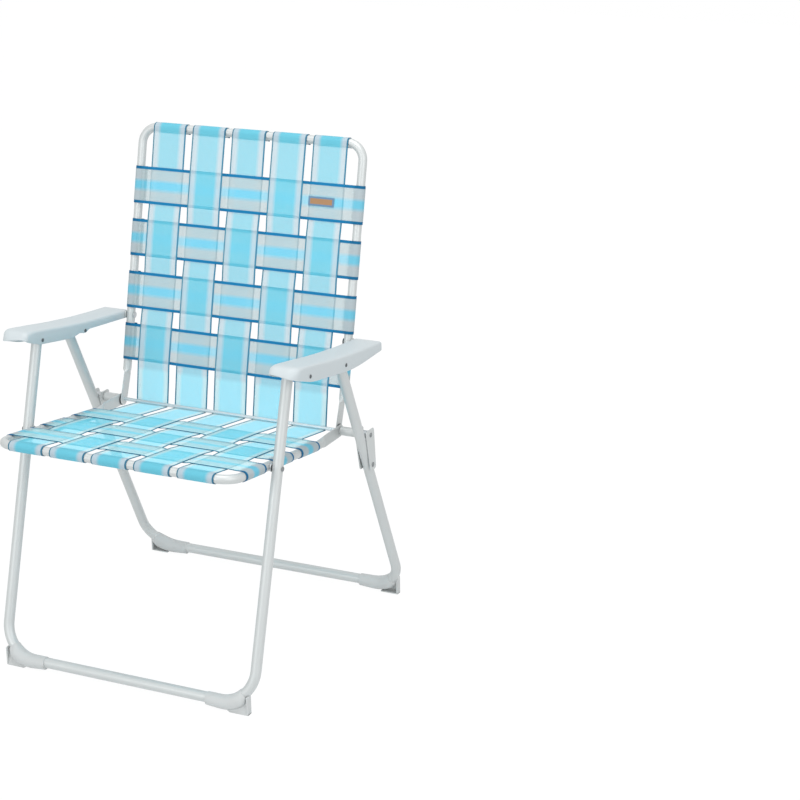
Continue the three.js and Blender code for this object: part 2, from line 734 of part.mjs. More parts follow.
// An outline drawn across a frame, as (x, height) pairs, extruded along the frame about a place on it
function acrossFrame(shape, place, normal, width) {
  const geometry = new THREE.ExtrudeGeometry(shape, { depth: width, bevelEnabled: false });
  geometry.translate(0, 0, -width / 2);
  const across = new THREE.Vector3(1, 0, 0);
  const height = new THREE.Vector3(0, normal.x, normal.y);
  const turn = new THREE.Matrix4().makeBasis(across, height, across.clone().cross(height));
  return toGeometry(toSolid(geometry.applyMatrix4(turn.setPosition(at(0, place)))));
}

const seatUp = turnLeft(seatBack);
const backFront = turnLeft(backUp);
const backDown = backUp.clone().negate();

function onFrame(bar, barAlong, normal, points) {
  return points.map((p) => along(along(bar, barAlong, p.x), normal, p.y));
}

function longStrap(centreline, column) {
  const left = longPlaces[column] - longStrapWidth / 2;
  return toGeometry(toSolid(sideExtrusion(ribbon(centreline), left, left + longStrapWidth)));
}

// Down the back and behind the rod
function backLongStrap(column) {
  const points = [...wrap(), ...weave(backPlaces, crossStrapWidth, (row) => !crossIsOver(column, row))];
  const behindRod = along(hinge, backFront, -rodOff);
  return longStrap([...onFrame(backBar, backDown, backFront, points), behindRod], column);
}

// Under the rod and along the seat
function seatLongStrap(column) {
  const points = [...wrap(), ...weave(seatPlaces, crossStrapWidth, (row) => !crossIsOver(column, row))];
  const under = -upright - seatSlope;
  const behind = -backRecline - THREE.MathUtils.radToDeg(fitGap / rodOff);
  const round = [];
  for (let step = 0; step <= rodWrapSteps; step += 1) {
    const angle = THREE.MathUtils.lerp(under, behind, step / rodWrapSteps);
    round.push(along(hinge, sideDirection(angle), rodOff));
  }
  return longStrap([...onFrame(seatBar, seatBack, seatUp, points), ...round], column);
}

function tag() {
  const centreX = longPlaces[longStrapCount - 1] - tagInset;
  const low = strapOff + weaveRise + strapThickness / 2 + fitGap;
  const outline = new THREE.Shape([
    new THREE.Vector2(centreX - tagWidth / 2, low),
    new THREE.Vector2(centreX + tagWidth / 2, low),
    new THREE.Vector2(centreX + tagWidth / 2, low + tagThickness),
    new THREE.Vector2(centreX - tagWidth / 2, low + tagThickness),
  ]);
  return acrossFrame(outline, along(backBar, backDown, backPlaces[0] - tagRaise), backFront, tagHeight);
}

// Colours and surfaces
const finishes = {
  tube: { color: 0xc6cccf, roughness: 0.38, metalness: 0.55 },
  steel: { color: 0xb4b8ba, roughness: 0.35, metalness: 0.9 },
  darkSteel: { color: 0x4a4e52, roughness: 0.5, metalness: 0.7 },
  armPlastic: { color: 0xd5dde0, roughness: 0.45, metalness: 0 },
  footPlastic: { color: 0xcdd0d1, roughness: 0.55, metalness: 0 },
  strap: { color: 0xa0d4e0, roughness: 0.6, metalness: 0 },
  tag: { color: 0xc89a62, roughness: 0.7, metalness: 0 },
};

// The chair: one group for each part that moves as one
const chair = new THREE.Group();

function body() {
  const group = new THREE.Group();
  chair.add(group);
  return group;
}

function add(group, name, geometry, finish) {
  const mesh = new THREE.Mesh(geometry, new THREE.MeshStandardMaterial(finishes[finish]));
  mesh.name = name;
  group.add(mesh);
}

function mirrored(geometry) {
  const copy = geometry.clone();
  copy.scale(-1, 1, 1);
  const corners = copy.index.array;
  for (let i = 0; i < corners.length; i += 3) {
    [corners[i], corners[i + 1]] = [corners[i + 1], corners[i]];
  }
  return copy;
}

function addPair(group, name, geometry, finish) {
  add(group, `${name}_right`, geometry, finish);
  add(group, `${name}_left`, mirrored(geometry), finish);
}

function solidOf(geometry) {
  return toGeometry(toSolid(geometry));
}

const boltOuter = armOutsideX + fitGap;
const boltInner = armInsideX - fitGap;

const rearLegs = body();
const rearHoles = [armRearPivot, linkPivot];
const rearCap = footCap(rearFoot, rearLegUp, rearLegX, rearLegToArm);
const linkRivetEnds = [linkInnerX - fitGap, linkOuterX + linkPlateThickness + fitGap];
add(rearLegs, 'rear_leg_frame', legFrame(rearFoot, rearLegUp, rearLegToArm, rearLegX, rearHoles), 'tube');
addPair(rearLegs, 'rear_foot', rearCap, 'footPlastic');
addPair(rearLegs, 'link_lower_rivet', rivet(linkPivot, ...linkRivetEnds), 'steel');

const frontLegs = body();
const frontHoles = [armFrontPivot, seatPivot];
const frontCap = footCap(frontFoot, frontLegUp, frontLegX, frontLegToArm);
const seatRivetEnds = [seatHalfWidth - frameRadius - fitGap, frontLegX + legRadius + fitGap];
const seatWasherEnds = [seatHalfWidth + frameRadius + fitGap, frontLegX - legRadius - fitGap];
const seatWasher = spacer(seatPivot, ...seatWasherEnds, railWasherDiameter / 2, boltHole);
add(frontLegs, 'front_leg_frame', legFrame(frontFoot, frontLegUp, frontLegToArm, frontLegX, frontHoles), 'tube');
addPair(frontLegs, 'front_foot', frontCap, 'footPlastic');
addPair(frontLegs, 'seat_rivet', rivet(seatPivot, ...seatRivetEnds), 'steel');
addPair(frontLegs, 'seat_washer', solidOf(seatWasher), 'steel');

const armrests = body();
const frontSpacerEnds = [frontLegX + legRadius + fitGap, armOutsideX - armOuterWall - fitGap];
const rearSpacerEnds = [armChannelX + fitGap, rearLegX - legRadius - fitGap];
const backWasherEnds = [backHalfWidth + frameRadius + fitGap, armInsideX - fitGap];
const backRivetEnds = [backHalfWidth - frameRadius - fitGap, armChannelX + fitGap];
const frontSpacer = spacer(armFrontPivot, ...frontSpacerEnds, armSpacerDiameter / 2, boltHole);
const rearSpacer = spacer(armRearPivot, ...rearSpacerEnds, armSpacerDiameter / 2, boltHole);
const backWasher = spacer(armBackPivot, ...backWasherEnds, railWasherDiameter / 2, boltHole);
const armBoltHeads = { innerHead: armBoltHeadDiameter, outerHead: armBoltHeadDiameter };
const backRivet = rivet(armBackPivot, ...backRivetEnds, { innerHead: backRivetHeadDiameter });
addPair(armrests, 'armrest', armrest(), 'armPlastic');
addPair(armrests, 'arm_front_bolt', rivet(armFrontPivot, boltInner, boltOuter, armBoltHeads), 'darkSteel');
addPair(armrests, 'arm_rear_bolt', rivet(armRearPivot, boltInner, boltOuter, armBoltHeads), 'darkSteel');
addPair(armrests, 'arm_front_spacer', solidOf(frontSpacer), 'footPlastic');
addPair(armrests, 'arm_rear_spacer', solidOf(rearSpacer), 'footPlastic');
addPair(armrests, 'back_rivet', backRivet, 'steel');
addPair(armrests, 'back_washer', solidOf(backWasher), 'footPlastic');

const seat = body();
const rodEnd = linkInnerX - fitGap;
const hingeWasherEnds = [backTailX + tailThickness / 2 + fitGap, seatTailX - tailThickness / 2 - fitGap];
const hingeSpacerEnds = [seatTailX + tailThickness / 2 + fitGap, rodEnd];
const hingeWasher = spacer(hinge, ...hingeWasherEnds, hingeWasherDiameter / 2, rodRadius + fitGap);
const hingeSpacer = spacer(hinge, ...hingeSpacerEnds, hingeSpacerDiameter / 2, rodRadius + fitGap);
const seatTail = [seatTailStart, seatTailBack, seatPressLength];
const seatFrame = strapFrame(seatBar, seatTail, seatHalfWidth, seatTailX, seatPivot, boltHole);
add(seat, 'seat_frame', seatFrame, 'tube');
add(seat, 'hinge_rod', solidOf(roundBar(hinge, -rodEnd, rodEnd, rodRadius)), 'steel');
addPair(seat, 'hinge_washer', solidOf(hingeWasher), 'darkSteel');
addPair(seat, 'hinge_spacer', solidOf(hingeSpacer), 'tube');
longPlaces.forEach((_, column) => {
  add(seat, `seat_long_strap_${column + 1}`, seatLongStrap(column), 'strap');
});
seatPlaces.forEach((place, row) => {
  const strap = crossStrap(seatBar, seatBack, seatUp, place, seatHalfWidth, row);
  add(seat, `seat_cross_strap_${row + 1}`, strap, 'strap');
});

const back = body();
const backTail = [backTailStart, backTailUp.clone().negate(), backPressLength];
const backHole = boltRadius + backRivetPlay;
const backFrame = strapFrame(backBar, backTail, backHalfWidth, backTailX, armBackPivot, backHole);
add(back, 'back_frame', backFrame, 'tube');
longPlaces.forEach((_, column) => {
  add(back, `back_long_strap_${column + 1}`, backLongStrap(column), 'strap');
});
backPlaces.forEach((place, row) => {
  const strap = crossStrap(backBar, backDown, backFront, place, backHalfWidth, row);
  add(back, `back_cross_strap_${row + 1}`, strap, 'strap');
});
add(back, 'tag', tag(), 'tag');

const links = body();
const linkSpacerEnds = [linkInnerX + linkPlateThickness + fitGap, linkOuterX - fitGap];
const linkSpacer = spacer(hinge, ...linkSpacerEnds, linkSpacerDiameter / 2, boltHole);
const linkBolt = rivet(hinge, linkInnerX, linkOuterX + linkPlateThickness + fitGap, { innerHead: 0 });
addPair(links, 'link_inner_plate', solidOf(linkPlate(linkInnerX)), 'tube');
addPair(links, 'link_outer_plate', solidOf(linkPlate(linkOuterX)), 'tube');
addPair(links, 'link_spacer', solidOf(linkSpacer), 'steel');
addPair(links, 'link_upper_bolt', linkBolt, 'steel');

// Stand the chair on the ground with the origin in the middle of its box
const extent = new THREE.Box3().setFromObject(chair);
const middle = extent.getCenter(new THREE.Vector3());
chair.position.set(-middle.x, -middle.y, -extent.min.z);

const part = new THREE.Group();
part.add(chair);

export default part;
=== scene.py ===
import json
import math

import bpy
import numpy as np
from mathutils import Matrix, Vector


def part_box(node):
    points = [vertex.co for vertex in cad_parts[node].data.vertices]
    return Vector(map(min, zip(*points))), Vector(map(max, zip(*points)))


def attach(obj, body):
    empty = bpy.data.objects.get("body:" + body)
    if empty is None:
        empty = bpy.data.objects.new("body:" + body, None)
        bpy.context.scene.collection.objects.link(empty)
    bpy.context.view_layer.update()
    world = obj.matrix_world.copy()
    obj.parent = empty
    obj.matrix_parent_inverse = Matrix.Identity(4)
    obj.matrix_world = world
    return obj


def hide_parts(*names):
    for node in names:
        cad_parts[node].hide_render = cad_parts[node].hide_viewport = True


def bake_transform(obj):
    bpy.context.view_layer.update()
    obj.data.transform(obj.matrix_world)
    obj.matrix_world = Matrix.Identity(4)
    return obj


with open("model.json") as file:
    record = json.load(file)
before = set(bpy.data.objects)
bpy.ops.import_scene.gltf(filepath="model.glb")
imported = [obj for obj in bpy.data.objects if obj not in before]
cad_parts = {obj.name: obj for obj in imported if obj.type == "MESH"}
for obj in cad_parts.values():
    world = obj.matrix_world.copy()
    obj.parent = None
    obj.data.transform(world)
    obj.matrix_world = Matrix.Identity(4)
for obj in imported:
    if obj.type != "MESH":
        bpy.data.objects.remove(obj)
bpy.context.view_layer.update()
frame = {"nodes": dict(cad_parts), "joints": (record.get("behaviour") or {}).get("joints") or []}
print("frame loaded:", len(frame["nodes"]), "nodes")

# The photograph's camera
cameraSizes = {
    "target": (0.38791, 0.05307, 0.48550),
    "distance": 3.41490,
    "azimuth": 24.66,
    "elevation": 19.07,
    "roll": -0.65,
    "lens": 87.688,
    "farClip": 50,
}


def addObject(name, data):
    thing = bpy.data.objects.new(name, data)
    bpy.context.scene.collection.objects.link(thing)
    return thing


def makeCamera(sizes):
    azimuth, elevation, roll = (math.radians(sizes[key]) for key in ("azimuth", "elevation", "roll"))
    flat = math.cos(elevation)
    backward = Vector((math.sin(azimuth) * flat, -math.cos(azimuth) * flat, math.sin(elevation)))
    level = Vector((0, 0, 1)).cross(backward).normalized()
    upward = backward.cross(level)
    sideways = level * math.cos(roll) + upward * math.sin(roll)
    upward = upward * math.cos(roll) - level * math.sin(roll)
    data = bpy.data.cameras.new("camera")
    data.lens = sizes["lens"]
    data.clip_end = sizes["farClip"]
    camera = addObject("camera", data)
    place = Vector(sizes["target"]) + backward * sizes["distance"]
    camera.matrix_world = Matrix((
        (sideways.x, upward.x, backward.x, place.x),
        (sideways.y, upward.y, backward.y, place.y),
        (sideways.z, upward.z, backward.z, place.z),
        (0, 0, 0, 1),
    ))
    bpy.context.scene.camera = camera


makeCamera(cameraSizes)
print("camera placed")


# Materials
def linear(hexColor):
    channels = [int(hexColor[i:i + 2], 16) / 255 for i in (0, 2, 4)]
    return [c / 12.92 if c <= 0.04045 else ((c + 0.055) / 1.055) ** 2.4 for c in channels] + [1]


def startMaterial(name, color, roughness, metallic=0.0):
    material = bpy.data.materials.new(name)
    material.use_nodes = True
    shader = material.node_tree.nodes["Principled BSDF"]
    shader.inputs["Base Color"].default_value = linear(color)
    shader.inputs["Roughness"].default_value = roughness
    shader.inputs["Metallic"].default_value = metallic
    return material, material.node_tree.nodes, material.node_tree.links, shader


def addNode(nodes, kind, values=None, **settings):
    node = nodes.new(kind)
    for key, value in settings.items():
        setattr(node, key, value)
    for key, value in (values or {}).items():
        node.inputs[key].default_value = value
    return node


def connect(links, *wires):
    # Each wire is (node, its output, next node, its input)
    for node, output, follower, entry in wires:
        links.new(node.outputs[output], follower.inputs[entry])


def startGroup(name, kind, inputs, outputs):
    # Sockets are given as {name: (kind, default value or None)}
    group = bpy.data.node_groups.new(name, kind)
    for direction, sockets in (("INPUT", inputs), ("OUTPUT", outputs)):
        for label, (socketKind, value) in sockets.items():
            socketType = f"NodeSocket{socketKind}"
            socket = group.interface.new_socket(label, in_out=direction, socket_type=socketType)
            if value is not None:
                socket.default_value = value
    nodes = group.nodes
    return group, nodes, group.links, nodes.new("NodeGroupInput"), nodes.new("NodeGroupOutput")


grainLook = {
    "scale": 300,
    "fineDetail": 3,
    "fineRoughness": 0.6,
    "broadScale": 9,
    "broadDetail": 2,
    "toneSpread": 0.04,
    "bumpHeight": 0.0002,
}


def makeGrainGroup():
    # Fine unevenness of a moulded or painted surface, as a tone near 1 and a height
    group, nodes, links, enter, leave = startGroup(
        "surfaceGrain", "ShaderNodeTree",
        {"Scale": ("Float", grainLook["scale"]), "Tone Spread": ("Float", grainLook["toneSpread"])},
        {"Tone": ("Float", None), "Height": ("Float", None)})
    place = nodes.new("ShaderNodeTexCoord")
    fine = addNode(nodes, "ShaderNodeTexNoise",
                   {"Detail": grainLook["fineDetail"], "Roughness": grainLook["fineRoughness"]})
    broad = addNode(nodes, "ShaderNodeTexNoise",
                    {"Scale": grainLook["broadScale"], "Detail": grainLook["broadDetail"]})
    centred = addNode(nodes, "ShaderNodeMath", {1: 0.5}, operation="SUBTRACT")
    spreadOut = addNode(nodes, "ShaderNodeMath", operation="MULTIPLY")
    tone = addNode(nodes, "ShaderNodeMath", {1: 1}, operation="ADD")
    connect(
        links,
        (place, "Object", fine, "Vector"),
        (place, "Object", broad, "Vector"),
        (enter, "Scale", fine, "Scale"),
        (broad, "Fac", centred, 0),
        (centred, 0, spreadOut, 0),
        (enter, "Tone Spread", spreadOut, 1),
        (spreadOut, 0, tone, 0),
        (tone, 0, leave, "Tone"),
        (fine, "Fac", leave, "Height"),
    )
    return group


ribLook = {
    "count": 26,
    "toneDepth": 0.035,
    "yarnStretch": (40, 60, 1),
    "yarnDetail": 2,
    "waveShare": 0.5,
}


def makeRibGroup():
    # Woven ribs that run along a strap, from its own map: u across it and v along it
    group, nodes, links, enter, leave = startGroup(
        "wovenRibs", "ShaderNodeTree",
        {"Ribs": ("Float", ribLook["count"]), "Tone Depth": ("Float", ribLook["toneDepth"])},
        {"Across": ("Float", None), "Tone": ("Float", None), "Height": ("Float", None)})
    place = addNode(nodes, "ShaderNodeUVMap", uv_map="strap")
    split = nodes.new("ShaderNodeSeparateXYZ")
    turns = addNode(nodes, "ShaderNodeMath", {1: 2 * math.pi}, operation="MULTIPLY")
    phase = addNode(nodes, "ShaderNodeMath", operation="MULTIPLY")
    wave = addNode(nodes, "ShaderNodeMath", operation="SINE")
    stretched = addNode(nodes, "ShaderNodeMapping", {"Scale": ribLook["yarnStretch"]})
    yarn = addNode(nodes, "ShaderNodeTexNoise", {"Scale": 1, "Detail": ribLook["yarnDetail"]})
    yarnCentred = addNode(nodes, "ShaderNodeMath", {1: 0.5}, operation="SUBTRACT")
    both = addNode(nodes, "ShaderNodeMath", {1: ribLook["waveShare"]}, operation="MULTIPLY_ADD")
    deep = addNode(nodes, "ShaderNodeMath", operation="MULTIPLY")
    tone = addNode(nodes, "ShaderNodeMath", {1: 1}, operation="ADD")
    connect(
        links,
        (place, "UV", split, 0),
        (place, "UV", stretched, "Vector"),
        (stretched, "Vector", yarn, "Vector"),
        (split, "X", turns, 0),
        (turns, 0, phase, 0),
        (enter, "Ribs", phase, 1),
        (phase, 0, wave, 0),
        (yarn, "Fac", yarnCentred, 0),
        (wave, 0, both, 0),
        (yarnCentred, 0, both, 2),
        (both, 0, deep, 0),
        (enter, "Tone Depth", deep, 1),
        (deep, 0, tone, 0),
        (split, "X", leave, "Across"),
        (tone, 0, leave, "Tone"),
        (wave, 0, leave, "Height"),
    )
    return group


grainGroup = makeGrainGroup()
ribGroup = makeRibGroup()


def finishMaterial(name, color, roughness, metallic=0.0, grainScale=300, bump=0.1):
    material, nodes, links, shader = startMaterial(name, color, roughness, metallic)
    grain = addNode(nodes, "ShaderNodeGroup",
                    {"Scale": grainScale, "Tone Spread": grainLook["toneSpread"]}, node_tree=grainGroup)
    tint = addNode(nodes, "ShaderNodeVectorMath", {0: linear(color)[:3]}, operation="SCALE")
    relief = addNode(nodes, "ShaderNodeBump", {"Strength": bump, "Distance": grainLook["bumpHeight"]})
    connect(
        links,
        (grain, "Tone", tint, "Scale"),
        (tint, 0, shader, "Base Color"),
        (grain, "Height", relief, "Height"),
        (relief, 0, shader, "Normal"),
    )
    return material


strapLook = {
    "plain": "A4E1F1",
    # painted shade: the next colour is multiplied into a strap where it lies round a bar, darkening it there
    "rollTint": "E8E4E6",
    "seeThrough": 0.5,
    "roughness": 0.65,
    "shine": 0.2,
    "bump": 0.3,
    "bumpHeight": 0.0003,
    # painted light: share by which a strap's colour is brightened where two straps lie on each other
    "crossingLift": 0.16,
}
# Stripes across a strap on the upright back, as (place, colour, opacity)
# the dark edges are the webbing's own; the dark band at the right edge is wider than at the left, and that
# extra width is painted shadow along that edge
longStripes = [(0.0, "37788F", 1), (0.026, "37788F", 1), (0.038, "B9CFD8", 0), (0.14, "B9CFD8", 0),
               (0.24, "6BC9DD", 0), (0.76, "6BC9DD", 0), (0.86, "B9CFD8", 0), (0.952, "B9CFD8", 0),
               (0.965, "387A97", 1), (1.0, "387A97", 1)]
crossStripes = [(0.0, "0A6C9A", 1), (0.07, "0A6C9A", 1), (0.085, "B5C7CB", 0), (0.31, "B9C7CA", 0),
                (0.43, "74CCE4", 0), (0.58, "74CCE4", 0), (0.68, "B9C7CA", 0), (0.915, "B5C7CB", 0),
                (0.93, "0A6C9A", 1), (1.0, "0A6C9A", 1)]
# and their brighter colours where the strap lies on the seat, as (place, colour): painted light, a lit copy
# of the same webbing
longStripesLitOnSeat = [(0.0, "1F6C88"), (0.028, "1F6C88"), (0.038, "BEE5EB"), (0.12, "BEE5EB"),
                   (0.2, "7EE1F4"), (0.8, "7EE1F4"), (0.88, "BEE5EB"), (0.96, "BEE5EB"),
                   (0.97, "1F6C88"), (1.0, "1F6C88")]
crossStripesLitOnSeat = [(0.0, "1F6C88"), (0.04, "1F6C88"), (0.055, "BCE5EB"), (0.37, "BCE5EB"),
                    (0.45, "88E2F4"), (0.57, "88E2F4"), (0.64, "BCE5EB"), (0.945, "BCE5EB"),
                    (0.96, "1F6C88"), (1.0, "1F6C88")]


def stripeColor(color, opacity=1):
    return linear(color)[:3] + [opacity]


def stripeRamp(nodes, stripes):
    ramp = nodes.new("ShaderNodeValToRGB")
    elements = ramp.color_ramp.elements
    for element, (place, *look) in zip(elements, (stripes[0], stripes[-1])):
        element.position = place
        element.color = stripeColor(*look)
    for place, *look in stripes[1:-1]:
        elements.new(place).color = stripeColor(*look)
    return ramp


def strapMaterial(name, upright, litOnSeat):
    material, nodes, links, shader = startMaterial(name, strapLook["plain"], strapLook["roughness"])
    shader.inputs["Specular IOR Level"].default_value = strapLook["shine"]
    ribs = addNode(nodes, "ShaderNodeGroup",
                   {"Ribs": ribLook["count"], "Tone Depth": ribLook["toneDepth"]}, node_tree=ribGroup)
    # the second ramp holds the brighter seat colours, which are painted light; the lying mask picks them
    ramps = [stripeRamp(nodes, stripes) for stripes in (upright, litOnSeat)]
    lying = addNode(nodes, "ShaderNodeAttribute", attribute_name="lying")
    roll = addNode(nodes, "ShaderNodeAttribute", attribute_name="roll")
    crossing = addNode(nodes, "ShaderNodeAttribute", attribute_name="crossing")
    # painted light: the colour is brightened where two straps lie on each other
    lift = addNode(nodes, "ShaderNodeMath", {1: strapLook["crossingLift"], 2: 1}, operation="MULTIPLY_ADD")
    tone = addNode(nodes, "ShaderNodeMath", operation="MULTIPLY")
    color = addNode(nodes, "ShaderNodeMix", data_type="RGBA")
    toned = addNode(nodes, "ShaderNodeVectorMath", operation="SCALE")
    # painted shade: the strap is darkened by a grey tint where it lies round a bar
    shadedRoll = addNode(nodes, "ShaderNodeMix", data_type="RGBA", blend_type="MULTIPLY")
    shadedRoll.inputs["B"].default_value = linear(strapLook["rollTint"])
    opaque = addNode(nodes, "ShaderNodeMath", operation="MAXIMUM")
    solid = addNode(nodes, "ShaderNodeMapRange", {"To Min": strapLook["seeThrough"], "To Max": 1})
    relief = addNode(nodes, "ShaderNodeBump",
                     {"Strength": strapLook["bump"], "Distance": strapLook["bumpHeight"]})
    for ramp, socket in zip(ramps, ("A", "B")):
        links.new(ribs.outputs["Across"], ramp.inputs["Fac"])
        links.new(ramp.outputs["Color"], color.inputs[socket])
    connect(
        links,
        (lying, "Fac", color, "Factor"),
        (color, "Result", toned, 0),
        (crossing, "Fac", lift, 0),
        (ribs, "Tone", tone, 0),
        (lift, 0, tone, 1),
        (tone, 0, toned, "Scale"),
        (toned, 0, shadedRoll, "A"),
        (roll, "Fac", shadedRoll, "Factor"),
        (shadedRoll, "Result", shader, "Base Color"),
        (ramps[0], "Alpha", opaque, 0),
        (roll, "Fac", opaque, 1),
        (opaque, 0, solid, "Value"),
        (solid, 0, shader, "Alpha"),
        (ribs, "Height", relief, "Height"),
        (relief, 0, shader, "Normal"),
    )
    return material


tagLook = {
    "field": "A07A56",
    "border": "5F7F9C",
    "roughness": 0.7,
    "borderShares": {"X": 0.07, "Y": 0.2},
}


def tagMaterial():
    # A plain woven label: a tan field inside a grey-blue border
    material, nodes, links, shader = startMaterial("labelCloth", tagLook["field"], tagLook["roughness"])
    place = addNode(nodes, "ShaderNodeUVMap", uv_map="label")
    split = nodes.new("ShaderNodeSeparateXYZ")
    links.new(place.outputs["UV"], split.inputs[0])
    masks = []
    for axis, border in tagLook["borderShares"].items():
        centred = addNode(nodes, "ShaderNodeMath", {1: 0.5}, operation="SUBTRACT")
        away = addNode(nodes, "ShaderNodeMath", operation="ABSOLUTE")
        inside = addNode(nodes, "ShaderNodeMath", {1: 0.5 - border}, operation="LESS_THAN")
        connect(
            links,
            (split, axis, centred, 0),
            (centred, 0, away, 0),
            (away, 0, inside, 0),
        )
        masks.append(inside)
    field = addNode(nodes, "ShaderNodeMath", operation="MULTIPLY")
    color = addNode(nodes, "ShaderNodeMix", data_type="RGBA")
    color.inputs["A"].default_value = linear(tagLook["border"])
    color.inputs["B"].default_value = linear(tagLook["field"])
    connect(
        links,
        (masks[0], 0, field, 0),
        (masks[1], 0, field, 1),
        (field, 0, color, "Factor"),
        (color, "Result", shader, "Base Color"),
    )
    return material


materials = {
    "tube": finishMaterial("silverPaint", "C3C7C7", 0.48, metallic=0.4, grainScale=700),
    "steel": finishMaterial("platedSteel", "B9BEC1", 0.32, metallic=0.9),
    "rod": finishMaterial("rodSteel", "C2CFD4", 0.25, metallic=0.6),
    "rivet": finishMaterial("rivetSteel", "85898B", 0.45, metallic=0.5),
    "darkSteel": finishMaterial("darkSteel", "565B5E", 0.5, metallic=0.5),
    "arm": finishMaterial("armPlastic", "BEC6C9", 0.55, grainScale=500, bump=0.15),
    "foot": finishMaterial("footPlastic", "BFC2C2", 0.5, grainScale=500, bump=0.15),
    "longStrap": strapMaterial("longWebbing", longStripes, longStripesLitOnSeat),
    "crossStrap": strapMaterial("crossWebbing", crossStripes, crossStripesLitOnSeat),
    "tag": tagMaterial(),
}
print("materials made:", len(materials))


# Places in the side view, as (y, z) in millimetres, and points made from them
def side(y, z):
    return np.array([y, z], float)


def sideDirection(degrees):
    return side(math.cos(math.radians(degrees)), math.sin(math.radians(degrees)))


def turnLeft(direction):
    return side(-direction[1], direction[0])


def at(x, place):
    return np.array([x, place[0], place[1]], float)


acrossChair = at(1, side(0, 0))


def unit(vector):
    return vector / np.linalg.norm(vector)


def smooth(share):
    share = np.clip(share, 0, 1)
    return share * share * (3 - 2 * share)


pivots = {joint["name"]: side(*joint["pos_m"][1:]) * 1000 for joint in frame["joints"]}
armRearPivot = pivots["fold"]
armFrontPivot = pivots["front_leg_fold"]
seatPivot = pivots["seat_fold"]
hinge = pivots["back_fold"]
linkPivot = pivots["link_fold"]


def nodeCentre(node):
    low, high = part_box(node)
    middle = (low + high) / 2 * 1000
    return side(middle.y, middle.z)


armBackPivot = nodeCentre("back_rivet_right")


# Meshes: each part is (points in millimetres, faces), joined into one piece
def mirrored(part):
    points, faces = part
    return points * np.array([-1, 1, 1]), [list(face)[::-1] for face in faces]


def makePiece(name, parts, material, body, replaced=(), sharpAngle=40, uv=None, masks=None):
    points, faces = [], []
    for partPoints, partFaces in parts:
        start = sum(len(p) for p in points)
        points.append(np.asarray(partPoints, float))
        faces += [[i + start for i in face] for face in partFaces]
    mesh = bpy.data.meshes.new(name)
    mesh.from_pydata((np.concatenate(points) / 1000).tolist(), [], faces)
    mesh.validate()
    mesh.polygons.foreach_set("use_smooth", [True] * len(mesh.polygons))
    mesh.set_sharp_from_angle(angle=math.radians(sharpAngle))
    if uv is not None:
        layerName, coordinates = uv
        layer = mesh.uv_layers.new(name=layerName)
        corners = np.zeros(len(mesh.loops), np.int32)
        mesh.loops.foreach_get("vertex_index", corners)
        layer.data.foreach_set("uv", np.asarray(coordinates, np.float32)[corners].ravel())
    for maskName, values in (masks or {}).items():
        attribute = mesh.attributes.new(maskName, "FLOAT", "POINT")
        attribute.data.foreach_set("value", np.asarray(values, np.float32))
    mesh.materials.append(materials[material])
    piece = addObject(name, mesh)
    if replaced:
        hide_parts(*replaced)
    if body:
        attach(piece, body)
    return piece


def camelName(node):
    first, *rest = node.split("_")
    return first + "".join(word.capitalize() for word in rest)


def makePair(node, parts, material, body, sharpAngle=40):
    # The right-hand piece, and its mirror image on the left
    for hand in ("right", "left"):
        handed = parts if hand == "right" else [mirrored(part) for part in parts]
        makePiece(camelName(f"{node}_{hand}"), handed, material, body, [f"{node}_{hand}"], sharpAngle)


def loft(rings, closedEnds=True):
    # Rings of equal size, joined in order; the outside is on the left of each ring's travel
    count = len(rings[0])
    faces = []
    for row in range(len(rings) - 1):
        low, high = row * count, (row + 1) * count
        for i in range(count):
            after = (i + 1) % count
            faces.append([low + i, low + after, high + after, high + i])
    if closedEnds:
        faces.append(list(range(count))[::-1])
        faces.append([(len(rings) - 1) * count + i for i in range(count)])
    return np.concatenate(rings), faces


def bentPath(corners):
    # Straights and bends through corners of (point, bend radius, steps), as points and directions
    points, directions = [], []
    for i, (corner, radius, steps) in enumerate(corners):
        inward = unit(corner - corners[i - 1][0]) if i else None
        outward = unit(corners[i + 1][0] - corner) if i < len(corners) - 1 else None
        if inward is None or outward is None or not radius:
            both = [d for d in (inward, outward) if d is not None]
            points.append(corner)
            directions.append(unit(sum(both)))
            continue
        turn = math.acos(np.clip(inward @ outward, -1, 1))
        start = corner - inward * radius * math.tan(turn / 2)
        sideways = unit(outward - inward * (outward @ inward))
        for angle in np.linspace(0, turn, steps + 1):
            point = start + inward * radius * math.sin(angle) + sideways * radius * (1 - math.cos(angle))
            points.append(point)
            directions.append(inward * math.cos(angle) + sideways * math.sin(angle))
    return np.array(points), np.array(directions)


def ringsAlong(path, normal, section):
    # One ring of points per place on the path; section(i) gives its outline
    rings = []
    for i, (point, direction) in enumerate(zip(*path)):
        normal = unit(normal - direction * (normal @ direction))
        binormal = np.cross(direction, normal)
        outline = section(i)
        rings.append(point + outline[:, :1] * normal + outline[:, 1:] * binormal)
    return rings


def circle(radius, sides):
    angles = np.linspace(0, 2 * math.pi, sides, endpoint=False)
    return np.column_stack([np.cos(angles), np.sin(angles)]) * radius


# Leg frames
legSizes = {
    "radius": 9.5,
    "wall": 1,
    "bendRadius": 62,
    "bendSteps": 20,
    "sides": 40,
    "openDepth": 12,
    "aboveBolt": 10,
}
legs = {
    "front": {"foot": side(-275.9328, 17), "up": sideDirection(90 - 16.86), "halfWidth": 254.0,
              "top": armFrontPivot, "body": "front_legs"},
    "rear": {"foot": side(275.7672, 17), "up": sideDirection(90 + 25.16), "halfWidth": 284.0,
             "top": armRearPivot, "body": "rear_legs"},
}


def legCorners(leg):
    top = leg["top"] + leg["up"] * legSizes["aboveBolt"]
    bend = (legSizes["bendRadius"], legSizes["bendSteps"])
    return [
        (at(-leg["halfWidth"], top), 0, 0),
        (at(-leg["halfWidth"], leg["foot"]), *bend),
        (at(leg["halfWidth"], leg["foot"]), *bend),
        (at(leg["halfWidth"], top), 0, 0),
    ]


